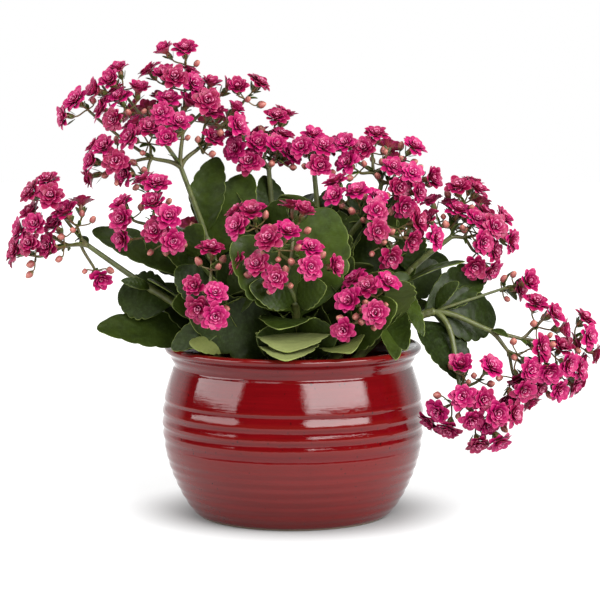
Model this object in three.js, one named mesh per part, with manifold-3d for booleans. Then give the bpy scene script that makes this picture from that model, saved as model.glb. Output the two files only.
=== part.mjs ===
// A potted kalanchoe with double flowers: a ribbed, red-glazed round pot filled with potting soil,
// leafy stems that stand in holes in the soil, and flower sprays that grow from the stem tips.
// Units are millimetres, +Z is up, and the origin is the centre of the pot's foot.
// The plant's show side faces -Y, and +X is to its right.
import * as THREE from "three";
import { mergeVertices } from "three/addons/utils/BufferGeometryUtils.js";
import Module from "manifold-3d";

const wasm = await Module();
wasm.setup();

// ---------------------------------------------------------------- driving dimensions
const GAP = 0.3; // clearance between pieces that rest on or stand in each other

const POT = {
  footRadius: 71,
  bellyRadius: 98,
  bellyHeight: 72,
  neckRadius: 88.5,
  neckHeight: 114,
  rimRadius: 96,
  wall: 6,
  ribRoom: 1.4, // by which the inside stands back further, behind the ribs
  floor: 8,
  bellyCurve: 0.72, // how full the belly is below its widest; 1 is a plain cosine quarter
  sides: 30,
};
// Turned ribs below the smooth shoulder: the heights of crest, groove, crest and so on down.
const RIBS = {
  heights: [88.3, 85.6, 78.6, 75.1, 69.1, 66.0, 61.2, 54.6, 51.4, 46.4],
  depth: 0.95,
};
const LOWER_WALL = [8, 24]; // heights of the plain rings below the ribs
const SHOULDER = 100; // and of the one above them
// The banded neck and the rolled lip, as [step out from the neck's or the rim's radius, height].
const NECK = [[0.6, 112], [1.4, 118]];
const LIP = [[-0.6, 122], [0, 125], [-2.5, 128], [-8, 126.5]];
const INSIDE = [40, 72, 96]; // heights of the inner wall's rings, from the floor up
const SOIL = { top: 108, crown: 3, slack: 0.8, floorSlack: 2, sides: 20 };

const LEAF = { thickness: 1.6, taper: 0.4, fold: 0.05, bow: 0.08, edgeSwell: 8 };
const STEM = {
  footRadius: 3.6,
  neckRadius: 2.6,
  sides: 5,
  rings: 4,
  depthInSoil: 34,
  rise: 6, // height over the soil where the trunk starts to lean
  stub: 9, // length of the flower stalk's foot that is part of the stem
  sink: 1, // by which that foot starts inside the trunk
};
const STALK = {
  footRadius: 2.1,
  tipRadius: 1.5,
  sides: 5,
  branchFoot: 1.3,
  branchTip: 1.1,
  branchSides: 3,
  pedicelRadius: 0.75,
  pedicelSides: 3,
};
const JOINT = { atHub: 3.6, atKnot: 2.7 }; // radii of the swellings where a stalk branches
const FLORET = {
  radius: 8.8, // from the centre to an outer petal's tip, a little larger than life
  notch: 6.5, // between two outer petals
  petals: 5,
  innerReach: 5.4,
  innerHeight: 4.6,
  calyxLength: 5.5,
  flare: 1.2, // of the calyx over the little stalk
  cup: 0.6, // by which an outer petal's tip stands above, and a notch below, the floret's plane
  size: 0.92, // of the smallest one
  room: 8.9, // florets whose middles come closer than twice this push each other apart
};
const BUD = { radius: 2.5, length: 6.4, sides: 4, size: 0.8, room: 3.4 };
const CLUSTER = {
  spacing: 9, // of the spiral that spreads florets, and then buds, over a cluster
  firstStep: 0.55,
  turn: Math.PI * (3 - Math.sqrt(5)), // the golden angle
  budReach: 0.82, // buds stay a little closer in
  budDrop: 5.5, // and hang lower
  dome: 0.016, // how much the surface falls away, per mm from the middle squared
  lift: 2, // the most that one floret stands above another
  sizes: 0.16, // by which one floret is larger than another
  knot: 13, // distance from the middle down to where its stalks branch
  centre: 1.7, // distance, in knots, down to the point that all its florets face away from
};
// A cluster faces away from its spray's hub, and a little towards the nearer side and the sky.
const FACING = { show: -0.65, back: 0.5, border: 15, up: 0.3 };
const CROWDING = { rounds: 40, share: 0.3 }; // how long and how strongly blooms push each other

// Each leafy stem: its foot in the soil, the points it leans through to the neck where its flower
// stalks begin, and its leaves as [share of the way up the stem, x, y, z of the leaf's tip, width,
// roll]. A leaf without roll has its upper face to the sky, and roll turns it, in degrees, about its
// own length: one turned past 90 shows its underside.
const STEMS = {
  stem_upper_left: {
    path: [[-38, 6], [-46, 7, 150], [-65, 8, 208]],
    leaves: [
      [0.98, -57, 22, 266, 28, 14],
      [0.82, -32, 14, 254, 38, 58],
      [0.7, -100, 26, 204, 32, -60],
      [0.4, -84, 46, 168, 42, -30],
    ],
  },
  stem_far_left: {
    path: [[-52, -8], [-68, -11, 142], [-90, -15, 161], [-110, -18, 174]],
    leaves: [
      [0.14, -145, -22, 142, 36, -42],
      [0.62, -130, -6, 166, 40, -60],
    ],
  },
  stem_left: {
    path: [[-28, -14], [-48, -18, 150], [-83, -22, 201]],
    leaves: [
      [0.76, -149, -4, 213, 26, -52],
      [0.94, -66, -40, 220, 22, 116],
      [0.5, -88, -48, 162, 32, -64],
      [0.84, -93, -36, 200, 26, -60],
      [0.25, -76, -30, 176, 44, -66],
    ],
  },
  stem_front_left: {
    path: [[-20, -36], [-34, -46, 138], [-61, -62, 168]],
    leaves: [
      [0.2, -50, -22, 196, 50, -20],
      [0.7, -88, -58, 131, 22, -52],
      [0.84, -84, -50, 190, 30, -54],
      [0.5, -74, -80, 138, 16, 124],
    ],
  },
  stem_front: {
    path: [[0, -34], [2, -48, 138], [2, -68, 168]],
    leaves: [
      [0.97, -31, -90, 180, 24, -76],
      [0.97, 24, -90, 180, 24, 84],
      [0.82, -43, -78, 211, 52, -78],
      [0.7, 26, -50, 233, 56, 68],
      [0.55, -4, -98, 134, 54, 0],
      [0.3, -5, -106, 129, 44, 0],
      [0.3, -76, -58, 161, 44, -88],
      [0.4, -26, -80, 144, 32, -104],
      [0.72, -10, -96, 150, 42, 0],
      [0.44, 32, -80, 145, 32, 100],
      [0.25, -18, -14, 198, 48, 0],
    ],
  },
  stem_top_left: {
    path: [[-4, 16], [-10, 17, 165], [-16, 18, 230]],
    leaves: [
      [0.84, -22, 24, 252, 26, -20],
      [0.62, -40, 12, 226, 40, -60],
      [0.7, -4, -8, 236, 32, 110],
      [0.6, -24, 62, 200, 40, 0],
    ],
  },
  stem_top_centre: {
    path: [[12, 12], [15, 13, 165], [18, 14, 230]],
    leaves: [
      [0.86, 36, 20, 246, 26, 10],
      [0.5, 44, -4, 204, 38, 40],
      [0.66, 26, 58, 206, 38, 0],
    ],
  },
  stem_top_right: {
    path: [[34, 12], [44, 13, 160], [60, 12, 218]],
    leaves: [
      [0.88, 42, 26, 246, 28, 0],
      [0.88, 92, 20, 232, 32, 40],
      [0.6, 66, 60, 192, 38, 0],
    ],
  },
  stem_centre_right: {
    path: [[22, -14], [30, -18, 155], [42, -25, 211]],
    leaves: [
      [0.8, 72, -26, 203, 36, 54],
      [0.9, 34, -14, 228, 18, 0],
      [0.5, 44, -44, 196, 40, 96],
    ],
  },
  stem_right: {
    path: [[46, 2], [60, 0, 145], [90, -5, 186]],
    leaves: [
      [0.92, 92, 14, 210, 26, 0],
      [0.7, 112, 34, 182, 28, 84],
      [0.4, 92, 4, 194, 34, 44],
      [0.6, 74, -66, 124, 19, -14],
      [0.66, 82, -58, 130, 21, 24],
    ],
  },
  stem_far_right: {
    path: [[42, -22], [66, -26, 138], [86, -29, 149], [105, -32, 156]],
    leaves: [
      [0.8, 144, 2, 184, 29, 60],
      [0.9, 151, -10, 148, 42, 70],
      [0.7, 124, -46, 106, 40, 24],
      [0.2, 84, -12, 182, 36, 80],
    ],
  },
  stem_front_right: {
    path: [[24, -32], [36, -46, 130], [60, -66, 151]],
    leaves: [
      [0.5, 74, -84, 167, 38, 84],
      [0.45, 41, -102, 134, 34, 18],
      [0.2, 60, -40, 182, 36, 76],
    ],
  },
  stem_back_left: {
    path: [[-30, 34], [-40, 46, 140], [-60, 70, 176]],
    leaves: [
      [0.84, -24, 78, 194, 36, 0],
      [0.86, -114, 62, 184, 42, -30],
      [0.6, -62, 112, 140, 44, 0],
      [0.5, -100, 72, 144, 42, -20],
    ],
  },
  stem_back: {
    path: [[3, 42], [4, 58, 140], [4, 84, 170]],
    leaves: [
      [0.94, 42, 96, 192, 34, 0],
      [0.92, -34, 98, 190, 34, 0],
      [0.6, -10, 116, 136, 46, 0],
      [0.5, 42, 100, 142, 42, 0],
    ],
  },
  stem_back_right: {
    path: [[34, 34], [44, 46, 140], [66, 68, 176]],
    leaves: [
      [0.84, 30, 78, 194, 34, 0],
      [0.86, 120, 56, 184, 42, 30],
      [0.6, 84, 104, 142, 44, 0],
      [0.5, 104, 66, 142, 42, 20],
    ],
  },
};

// Each flower spray: the stem that carries it, the hub where its stalk branches, and its clusters as
// [x, y, z of the cluster's middle, open florets, buds]. The seed fixes the draws of one spray.
const SPRAYS = {
  spray_upper_left: {
    stem: "stem_upper_left",
    hub: [-83, 0, 259],
    seed: 11,
    clusters: [
      [-79, 6, 344, 2, 0],
      [-91, 2, 326, 4, 1],
      [-37, 2, 314, 4, 1],
      [-66, -8, 303, 2, 1],
      [-134, 0, 318, 4, 1],
      [-156, 4, 303, 3, 0],
      [-114, -18, 293, 3, 0],
      [-140, -12, 263, 3, 1],
      [-104, -24, 264, 1, 0],
      [-72, -12, 281, 1, 0],
    ],
  },
  spray_far_left: {
    stem: "stem_far_left",
    hub: [-150, -24, 203],
    seed: 12,
    clusters: [
      [-183, -20, 245, 3, 1],
      [-162, -28, 226, 1, 0],
      [-198, -20, 208, 4, 1],
      [-143, -34, 179, 1, 0],
    ],
  },
  spray_left: {
    stem: "stem_left",
    hub: [-94, -30, 214],
    seed: 13,
    clusters: [
      [-104, -38, 246, 3, 1],
      [-88, -52, 228, 3, 1],
      [-124, -36, 224, 2, 0],
    ],
  },
  spray_front_left: {
    stem: "stem_front_left",
    hub: [-60, -72, 172],
    seed: 14,
    clusters: [
      [-58, -76, 200, 1, 0],
      [-59, -92, 170, 4, 1],
    ],
  },
  spray_front: {
    stem: "stem_front",
    hub: [-5, -74, 182],
    seed: 15,
    clusters: [
      [-29, -68, 228, 3, 1],
      [2, -76, 229, 3, 0],
      [16, -88, 203, 3, 0],
      [-26, -92, 196, 3, 1],
    ],
  },
  spray_top_left: {
    stem: "stem_top_left",
    hub: [-18, 16, 256],
    seed: 16,
    clusters: [
      [-14, 12, 284, 3, 1],
      [-38, 8, 276, 3, 0],
    ],
  },
  spray_top_centre: {
    stem: "stem_top_centre",
    hub: [16, 14, 254],
    seed: 17,
    clusters: [[15, 6, 276, 4, 1]],
  },
  spray_top_right: {
    stem: "stem_top_right",
    hub: [66, 10, 246],
    seed: 18,
    clusters: [
      [43, 6, 276, 2, 1],
      [62, 2, 278, 3, 0],
      [91, 6, 268, 3, 0],
      [78, -6, 246, 3, 1],
    ],
  },
  spray_centre_right: {
    stem: "stem_centre_right",
    hub: [50, -32, 222],
    seed: 19,
    clusters: [
      [32, -28, 246, 2, 0],
      [54, -36, 240, 2, 1],
      [85, -44, 220, 2, 0],
      [68, -52, 203, 1, 0],
    ],
  },
  spray_right: {
    stem: "stem_right",
    hub: [117, -8, 208],
    seed: 20,
    clusters: [
      [127, -6, 238, 3, 1],
      [152, -10, 218, 3, 0],
      [144, -16, 195, 3, 0],
    ],
  },
  spray_right_small: {
    stem: "stem_far_right",
    hub: [155, -28, 172],
    seed: 21,
    clusters: [[166, -32, 176, 2, 0]],
  },
  spray_far_right: {
    stem: "stem_far_right",
    hub: [144, -36, 142],
    seed: 22,
    clusters: [
      [187, -42, 148, 3, 1],
      [213, -38, 133, 3, 0],
      [202, -42, 106, 3, 0],
      [170, -50, 112, 3, 1],
    ],
  },
  spray_lower_right: {
    stem: "stem_far_right",
    hub: [122, -52, 102],
    seed: 23,
    clusters: [
      [133, -62, 115, 3, 0],
      [114, -62, 87, 3, 1],
      [147, -60, 77, 4, 0],
    ],
  },
  spray_front_right: {
    stem: "stem_front_right",
    hub: [58, -76, 160],
    seed: 24,
    clusters: [
      [58, -84, 179, 3, 0],
      [48, -94, 160, 3, 1],
    ],
  },
  spray_back_left: {
    stem: "stem_back_left",
    hub: [-66, 78, 190],
    seed: 25,
    clusters: [
      [-74, 90, 206, 4, 1],
      [-46, 86, 208, 2, 0],
    ],
  },
  spray_back: {
    stem: "stem_back",
    hub: [5, 92, 182],
    seed: 26,
    clusters: [[6, 104, 200, 5, 1]],
  },
  spray_back_right: {
    stem: "stem_back_right",
    hub: [72, 76, 190],
    seed: 27,
    clusters: [
      [80, 88, 206, 4, 1],
      [52, 84, 210, 2, 0],
    ],
  },
};

// ---------------------------------------------------------------- materials
const matte = (color, roughness) => new THREE.MeshStandardMaterial({ color, roughness, metalness: 0 });
const GLAZE = matte(0x9c1420, 0.18);
const EARTH = matte(0x2a1c13, 0.95);
const FOLIAGE = matte(0x3f5a22, 0.5);
const PETALS = matte(0xc81e72, 0.6);

// ---------------------------------------------------------------- small helpers
const vector = (x, y, z) => new THREE.Vector3(x, y, z);
const radians = THREE.MathUtils.degToRad;
const UP = vector(0, 0, 1);
const AWAY = vector(0, 1, 0);
const along = (from, direction, distance) => from.clone().addScaledVector(direction, distance);
const towards = (from, to) => to.clone().sub(from).normalize();

// Two unit vectors square to a direction: the first is level where it can be.
function squareTo(axis) {
  const level = new THREE.Vector3().crossVectors(axis, UP);
  if (level.length() < 0.05) level.set(1, 0, 0).addScaledVector(axis, -axis.x);
  level.normalize();
  return [level, new THREE.Vector3().crossVectors(level, axis).normalize()];
}

// A repeatable source of draws from 0 to 1.
function draws(seed) {
  let state = seed;
  return () => {
    state = (state * 1664525 + 1013904223) % 4294967296;
    return state / 4294967296;
  };
}

// A closed mesh from rings of points. Neighbouring rings are stitched even where one has more points,
// and a ring of one point is a tip. Rings turn anticlockwise seen from the last ring.
function loft(rings) {
  const positions = [];
  const faces = [];
  const starts = rings.map((ring) => {
    const start = positions.length / 3;
    ring.forEach((p) => positions.push(p.x, p.y, p.z));
    return start;
  });
  const stitch = (a, b) => {
    const [m, n] = [rings[a].length, rings[b].length];
    const low = (i) => starts[a] + (i % m);
    const high = (j) => starts[b] + (j % n);
    let i = 0;
    let j = 0;
    while (i < m || j < n) {
      const stepLow = j >= n || (i < m && (i + 0.5) * n <= (j + 0.5) * m);
      if (stepLow) {
        if (m > 1) faces.push(low(i), low(i + 1), high(j));
        i += 1;
      } else {
        if (n > 1) faces.push(low(i), high(j + 1), high(j));
        j += 1;
      }
    }
  };
  for (let k = 0; k + 1 < rings.length; k++) stitch(k, k + 1);
  const cap = (ring, start, flip) => {
    for (let i = 1; i + 1 < ring.length; i++)
      faces.push(start, start + (flip ? i + 1 : i), start + (flip ? i : i + 1));
  };
  cap(rings[0], starts[0], true);
  cap(rings.at(-1), starts.at(-1), false);
  const geometry = new THREE.BufferGeometry();
  geometry.setAttribute("position", new THREE.Float32BufferAttribute(positions, 3));
  geometry.setIndex(faces);
  return geometry;
}

// A ring of points round a centre, square to an axis, whose first point lies towards a direction.
function ringAt(centre, axis, radius, count, towardsFirst) {
  const first = towardsFirst.clone().addScaledVector(axis, -towardsFirst.dot(axis)).normalize();
  const second = new THREE.Vector3().crossVectors(first, axis);
  return Array.from({ length: count }, (_, i) => {
    const angle = (-2 * Math.PI * i) / count;
    return along(along(centre, first, radius * Math.cos(angle)), second, radius * Math.sin(angle));
  });
}

// A straight round stalk from one point and radius to another.
function stalk(from, to, fromRadius, toRadius, sides) {
  const axis = towards(from, to);
  const [level] = squareTo(axis);
  return loft([ringAt(from, axis, fromRadius, sides, level), ringAt(to, axis, toRadius, sides, level)]);
}

// The swelling where a stalk branches.
function joint(centre, radius) {
  return new THREE.OctahedronGeometry(radius).translate(centre.x, centre.y, centre.z);
}

// ---------------------------------------------------------------- solids
function solid(geometry) {
  const bare = new THREE.BufferGeometry();
  bare.setAttribute("position", geometry.getAttribute("position"));
  if (geometry.index) bare.setIndex(geometry.index);
  const merged = mergeVertices(bare, 1e-4);
  return new wasm.Manifold(
    new wasm.Mesh({
      numProp: 3,
      vertProperties: merged.attributes.position.array,
      triVerts: new Uint32Array(merged.index.array),
    }),
  );
}

// The largest body of a solid: what a cut leaves loose is dropped.
const whole = (shape) =>
  shape.decompose().reduce((best, body) => (body.volume() > best.volume() ? body : best));

const fuse = (geometries) => wasm.Manifold.union(geometries.map(solid));

function meshOf(name, shape, material) {
  const made = whole(shape).getMesh();
  const geometry = new THREE.BufferGeometry();
  geometry.setAttribute("position", new THREE.BufferAttribute(made.vertProperties, 3));
  geometry.setIndex(new THREE.BufferAttribute(made.triVerts, 1));
  geometry.computeVertexNormals();
  const mesh = new THREE.Mesh(geometry, material);
  mesh.name = name;
  return mesh;
}

// ---------------------------------------------------------------- the pot
// The belly swells from the foot to its widest and draws in to the neck along two cosine quarters.
function potRadius(z) {
  const { footRadius, bellyRadius, bellyHeight, bellyCurve, neckRadius, neckHeight } = POT;
  if (z < bellyHeight) {
    const s = 1 - z / bellyHeight;
    return footRadius + (bellyRadius - footRadius) * Math.cos((s * Math.PI) / 2) ** bellyCurve;
  }
  const s = (z - bellyHeight) / (neckHeight - bellyHeight);
  return neckRadius + (bellyRadius - neckRadius) * Math.cos((s * Math.PI) / 2);
}

// The radius of the inner wall, whose top ends under the lip.
const innerRadius = (z) => potRadius(z) - POT.wall - POT.ribRoom;

function potProfile() {
  const { footRadius, rimRadius, neckRadius, neckHeight, wall, floor } = POT;
  const ribs = RIBS.heights.map((z, i) => [potRadius(z) - (i % 2 ? RIBS.depth : 0), z]);
  const points = [
    [0, 0],
    [footRadius, 0],
    ...LOWER_WALL.map((z) => [potRadius(z), z]),
    ...ribs.reverse(),
    [potRadius(SHOULDER), SHOULDER],
    ...NECK.map(([step, z]) => [neckRadius + step, z]),
    ...LIP.map(([step, z]) => [rimRadius + step, z]),
    [neckRadius - wall, neckHeight],
    ...INSIDE.toReversed().map((z) => [innerRadius(z), z]),
    [footRadius - wall, floor],
    [0, floor],
  ];
  return points.map(([r, z]) => new THREE.Vector2(r, z));
}

function pot() {
  const turned = new THREE.LatheGeometry(potProfile(), POT.sides).rotateX(Math.PI / 2);
  return solid(turned);
}

// ---------------------------------------------------------------- the soil
function soil() {
  const bottom = POT.floor + GAP;
  const points = [
    [0, bottom],
    [POT.footRadius - POT.wall - SOIL.floorSlack, bottom],
    ...INSIDE.map((z) => [innerRadius(z) - GAP - SOIL.slack, z]),
    [POT.neckRadius - POT.wall - SOIL.floorSlack, SOIL.top],
    [0, SOIL.top + SOIL.crown],
  ];
  const profile = points.map(([r, z]) => new THREE.Vector2(r, z));
  return solid(new THREE.LatheGeometry(profile, SOIL.sides).rotateX(Math.PI / 2));
}

// ---------------------------------------------------------------- leaves
// Half widths along a leaf, as [share of its length, share of its half width]: a narrow foot and a
// broad blade that is widest past the middle.
const LEAF_OUTLINE = [
  [0, 0.12],
  [0.32, 0.8],
  [0.58, 1],
  [0.82, 0.8],
];

// A fleshy blade with a three-cornered section, two edges and a keel under the midrib, bowed between
// its foot and its tip. grow swells it on all sides, and its sharp edges the most.
function leaf(foot, tip, width, roll, grow) {
  const axis = towards(foot, tip);
  const length = foot.distanceTo(tip);
  const [side, face] = squareTo(axis);
  const tilt = radians(roll);
  const normal = face.clone().multiplyScalar(Math.cos(tilt)).addScaledVector(side, Math.sin(tilt));
  const across = new THREE.Vector3().crossVectors(axis, normal).normalize();
  const spine = (t) => along(along(foot, axis, length * t), normal, LEAF.bow * length * 4 * t * (1 - t));
  const rings = LEAF_OUTLINE.map(([t, share]) => {
    const half = (width / 2) * share + LEAF.edgeSwell * grow;
    const keel = LEAF.thickness * (1 - LEAF.taper * t) + LEAF.fold * width * share + grow;
    const middle = spine(t);
    return [
      along(along(middle, across, half), normal, grow),
      along(middle, normal, -keel),
      along(along(middle, across, -half), normal, grow),
    ];
  });
  rings.push([along(spine(1), axis, grow)]);
  return loft(rings);
}

// ---------------------------------------------------------------- leafy stems
const soilHeight = SOIL.top - STEM.depthInSoil;
const stemPoints = ({ path }) => [
  vector(...path[0], SOIL.top + STEM.rise),
  ...path.slice(1).map((p) => vector(...p)),
];

// A stem's trunk: upright in its hole in the soil, then leaning out along a smooth curve.
function trunk({ path }, curve, grow) {
  const foot = vector(...path[0], soilHeight - grow);
  const rings = [ringAt(foot, UP, STEM.footRadius + grow, STEM.sides, AWAY)];
  for (let i = 0; i < STEM.rings; i++) {
    const t = i / (STEM.rings - 1);
    const radius = THREE.MathUtils.lerp(STEM.footRadius, STEM.neckRadius, t) + grow;
    rings.push(ringAt(curve.getPoint(t), i ? curve.getTangent(t) : UP, radius, STEM.sides, AWAY));
  }
  return loft(rings);
}

// Where a spray's own stalk begins: a short way from the stem's neck towards the spray's hub.
function sprayFoot(spray) {
  const neck = stemPoints(STEMS[spray.stem]).at(-1);
  const heading = towards(neck, vector(...spray.hub));
  return { foot: along(neck, heading, STEM.stub), heading };
}

function stemPieces(name, grow) {
  const stem = STEMS[name];
  const points = stemPoints(stem);
  const neck = points.at(-1);
  const curve = new THREE.CatmullRomCurve3(points);
  const pieces = [trunk(stem, curve, grow)];
  for (const spray of Object.values(SPRAYS)) {
    if (spray.stem !== name) continue;
    const { foot, heading } = sprayFoot(spray);
    const radius = STALK.footRadius + grow;
    const start = along(neck, heading, -STEM.sink);
    pieces.push(stalk(start, along(foot, heading, grow), radius, radius, STALK.sides));
  }
  for (const [share, x, y, z, width, roll] of stem.leaves)
    pieces.push(leaf(curve.getPoint(share), vector(x, y, z), width, roll, grow));
  return pieces;
}

// ---------------------------------------------------------------- florets and buds
// One double floret and its own little stalk, in one closed surface: the stalk widens into the calyx
// and opens into a star of outer petals, with a raised layer of inner petals between their tips.
function floret(root, heart, face, turn, size, grow) {
  const { petals, radius, notch, innerReach, innerHeight, cup } = FLORET;
  const [level, second] = squareTo(face);
  const at = (reach, step, height) => {
    const angle = turn - (Math.PI * step) / petals;
    const flat = along(along(heart, level, reach * Math.cos(angle)), second, reach * Math.sin(angle));
    return along(flat, face, height);
  };
  const calyx = along(heart, face, -FLORET.calyxLength * size);
  const thin = STALK.pedicelRadius + grow;
  const firstPetal = towards(heart, at(1, 0, 0));
  return loft([
    ringAt(root, towards(root, calyx), thin, STALK.pedicelSides, firstPetal),
    ringAt(calyx, face, thin * FLORET.flare, STALK.pedicelSides, firstPetal),
    Array.from({ length: 2 * petals }, (_, i) =>
      at((i % 2 ? notch : radius) * size + grow, i, (i % 2 ? -cup : cup) - grow),
    ),
    Array.from({ length: petals }, (_, i) =>
      at(innerReach * size + grow, 2 * i + 1, innerHeight * size + grow),
    ),
  ]);
}

function bud(root, heart, face, size, grow) {
  const half = (BUD.length / 2) * size;
  const thin = STALK.pedicelRadius + grow;
  const base = along(heart, face, -half);
  const [level] = squareTo(face);
  return loft([
    ringAt(root, towards(root, base), thin, STALK.pedicelSides, level),
    ringAt(base, face, thin, STALK.pedicelSides, level),
    ringAt(heart, face, BUD.radius * size + grow, BUD.sides, level),
    [along(heart, face, half + grow)],
  ]);
}

// A cluster spreads its florets over a shallow dome along a sunflower spiral and hangs its buds a
// little lower round the outside. A single floret grows straight from the hub.
function spreadCluster(spray, cluster, draw) {
  const [x, y, z, florets, buds] = cluster;
  const middle = vector(x, y, z);
  const side = y < FACING.border ? FACING.show : FACING.back;
  const facing = towards(vector(...spray.hub), middle).add(vector(0, side, FACING.up)).normalize();
  const [level, second] = squareTo(facing);
  const phase = 2 * Math.PI * draw();
  const blooms = Array.from({ length: florets + buds }, (_, i) => {
    const isBud = i >= florets;
    const { size, room } = isBud ? BUD : FLORET;
    const step = CLUSTER.spacing * Math.sqrt(i + CLUSTER.firstStep);
    const reach = isBud ? CLUSTER.budReach * step : florets === 1 ? 0 : step;
    const angle = phase + i * CLUSTER.turn;
    const drop = CLUSTER.dome * reach * reach + (isBud ? CLUSTER.budDrop : 0) - CLUSTER.lift * draw();
    const place = along(middle, level, reach * Math.cos(angle));
    place.addScaledVector(second, reach * Math.sin(angle)).addScaledVector(facing, -drop);
    return { isBud, place, size: size + CLUSTER.sizes * draw(), turn: Math.PI * draw(), room };
  });
  const knot = florets > 1 ? along(middle, facing, -CLUSTER.knot) : null;
  const centre = along(middle, facing, -CLUSTER.centre * CLUSTER.knot);
  return { knot, centre, blooms };
}

// All clusters of all sprays, after the opening florets have pushed each other apart.
function layOut() {
  const spread = Object.fromEntries(
    Object.entries(SPRAYS).map(([name, spray]) => {
      const draw = draws(spray.seed);
      return [name, spray.clusters.map((cluster) => spreadCluster(spray, cluster, draw))];
    }),
  );
  const blooms = Object.values(spread).flatMap((clusters) => clusters.flatMap((c) => c.blooms));
  for (let round = 0; round < CROWDING.rounds; round++) {
    const pushes = blooms.map((one) => {
      const push = vector(0, 0, 0);
      for (const other of blooms) {
        const apart = one.place.clone().sub(other.place);
        const distance = apart.length();
        const lacking = one.room + other.room - distance;
        if (distance > 0 && lacking > 0) push.addScaledVector(apart, (CROWDING.share * lacking) / distance);
      }
      return push;
    });
    blooms.forEach((one, i) => one.place.add(pushes[i]));
  }
  return spread;
}

function sprayPieces(name, grow) {
  const spray = SPRAYS[name];
  const { foot, heading } = sprayFoot(spray);
  const hub = vector(...spray.hub);
  const start = along(foot, heading, GAP - grow);
  const { footRadius, tipRadius, sides, branchFoot, branchTip, branchSides } = STALK;
  const pieces = [
    stalk(start, hub, footRadius + grow, tipRadius + grow, sides),
    joint(hub, JOINT.atHub + grow),
  ];
  for (const { knot, centre, blooms } of LAYOUT[name]) {
    const root = knot ?? hub;
    if (knot) {
      pieces.push(stalk(hub, knot, branchFoot + grow, branchTip + grow, branchSides));
      pieces.push(joint(knot, JOINT.atKnot + grow));
    }
    for (const { isBud, place, size, turn } of blooms) {
      const face = towards(centre, place);
      pieces.push(
        isBud ? bud(root, place, face, size, grow) : floret(root, place, face, turn, size, grow),
      );
    }
  }
  return pieces;
}

// ---------------------------------------------------------------- assembly
const LAYOUT = layOut();
const plant = new THREE.Group();
const taken = []; // solids already placed, each swollen by the clearance

function place(name, shape, material, swollen) {
  const clear = taken.reduce((rest, other) => rest.subtract(other), shape);
  plant.add(meshOf(name, clear, material));
  taken.push(swollen);
}

plant.add(meshOf("pot", pot(), GLAZE));
taken.push(pot());

for (const name of Object.keys(SPRAYS))
  place(name, fuse(sprayPieces(name, 0)), PETALS, fuse(sprayPieces(name, GAP)));

for (const name of Object.keys(STEMS))
  place(name, fuse(stemPieces(name, 0)), FOLIAGE, fuse(stemPieces(name, GAP)));

const holes = Object.keys(STEMS).map((name) => fuse(stemPieces(name, GAP)));
plant.add(meshOf("soil", holes.reduce((rest, hole) => rest.subtract(hole), soil()), EARTH));

export default plant;
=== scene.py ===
import bpy
import numpy as np
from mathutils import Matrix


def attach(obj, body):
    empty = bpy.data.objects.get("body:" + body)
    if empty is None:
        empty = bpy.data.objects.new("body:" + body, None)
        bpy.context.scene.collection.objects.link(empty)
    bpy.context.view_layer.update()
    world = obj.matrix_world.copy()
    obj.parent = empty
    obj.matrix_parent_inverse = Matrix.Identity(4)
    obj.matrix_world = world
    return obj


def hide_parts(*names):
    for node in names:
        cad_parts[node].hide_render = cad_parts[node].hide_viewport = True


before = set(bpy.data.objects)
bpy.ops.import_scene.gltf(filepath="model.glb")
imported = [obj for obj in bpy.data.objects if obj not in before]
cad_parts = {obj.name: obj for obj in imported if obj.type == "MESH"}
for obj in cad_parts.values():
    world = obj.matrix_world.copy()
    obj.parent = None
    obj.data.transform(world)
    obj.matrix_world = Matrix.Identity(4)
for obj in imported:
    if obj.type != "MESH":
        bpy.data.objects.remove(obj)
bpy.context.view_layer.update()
metre = 0.001  # of a millimetre

# ---- the camera: square to the show side, a little above the pot
cameraValues = {
    "place": (0, -1775.3, 359.1), "pitchDown": 6.39, "yawRight": 0.17, "lens": 143.6, "sensor": 36,
}


def makeCamera(values):
    data = bpy.data.cameras.new("camera")
    data.lens, data.sensor_width = values["lens"], values["sensor"]
    camera = bpy.data.objects.new("camera", data)
    camera.location = [metre * c for c in values["place"]]
    turn = np.radians([90 - values["pitchDown"], 0, -values["yawRight"]])
    camera.rotation_euler = [float(a) for a in turn]
    bpy.context.collection.objects.link(camera)
    bpy.context.scene.camera = camera


makeCamera(cameraValues)

# ---- studio: three soft boxes in a dim room, a white floor and a white wall of light behind
studioValues = {
    # name: (degrees round from the front, elevation, distance in metres, width, height, radiance)
    "boxes": {
        "softBoxRight": (41, 30, 1.2, 1.24, 0.67, 10.6),
        "softBoxLeft": (-75, 25, 1.2, 1.06, 0.53, 5.8),
        "softBoxTop": (-35, 64, 1.5, 1.2, 0.8, 3.0),
    },
    "aimHeight": 0.10,
    "dimRoom": (0.045, 0.042, 0.042),
    "fill": 0.46,  # grey from all round for matte surfaces
    "wallFrom": 0.3,  # share of the way round to the back where the white wall begins
    "wallTo": 0.6,
    "wallTop": (0.3, 0.7),  # sines of the elevations between which the wall fades out
    "floorTone": 0.3,
    # how strongly the floor glows, and between which distances from the middle that grows; the near glow
    # falls away towards the pot and so paints a soft shadow round its foot
    "glowWithPaintedShadow": (0.72, 0.06, 0.142),
    "farGlow": (0.36, 0.2, 0.9),
}


def makeSoftBox(name, degreesRight, elevation, distance, width, height, radiance):
    # the box faces the plant from a point on a sphere round it
    across, up = np.radians(degreesRight), np.radians(elevation)
    outward = np.array([np.sin(across) * np.cos(up), -np.cos(across) * np.cos(up), np.sin(up)])
    data = bpy.data.lights.new(name, "AREA")
    data.shape = "RECTANGLE"
    data.size, data.size_y = width, height
    data.energy = radiance * np.pi * width * height  # watts for that radiance
    light = bpy.data.objects.new(name, data)
    light.location = distance * outward + np.array([0, 0, studioValues["aimHeight"]])
    light.rotation_euler = (float(np.pi / 2 - up), 0, float(across))
    light.visible_camera = False
    bpy.context.collection.objects.link(light)


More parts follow.
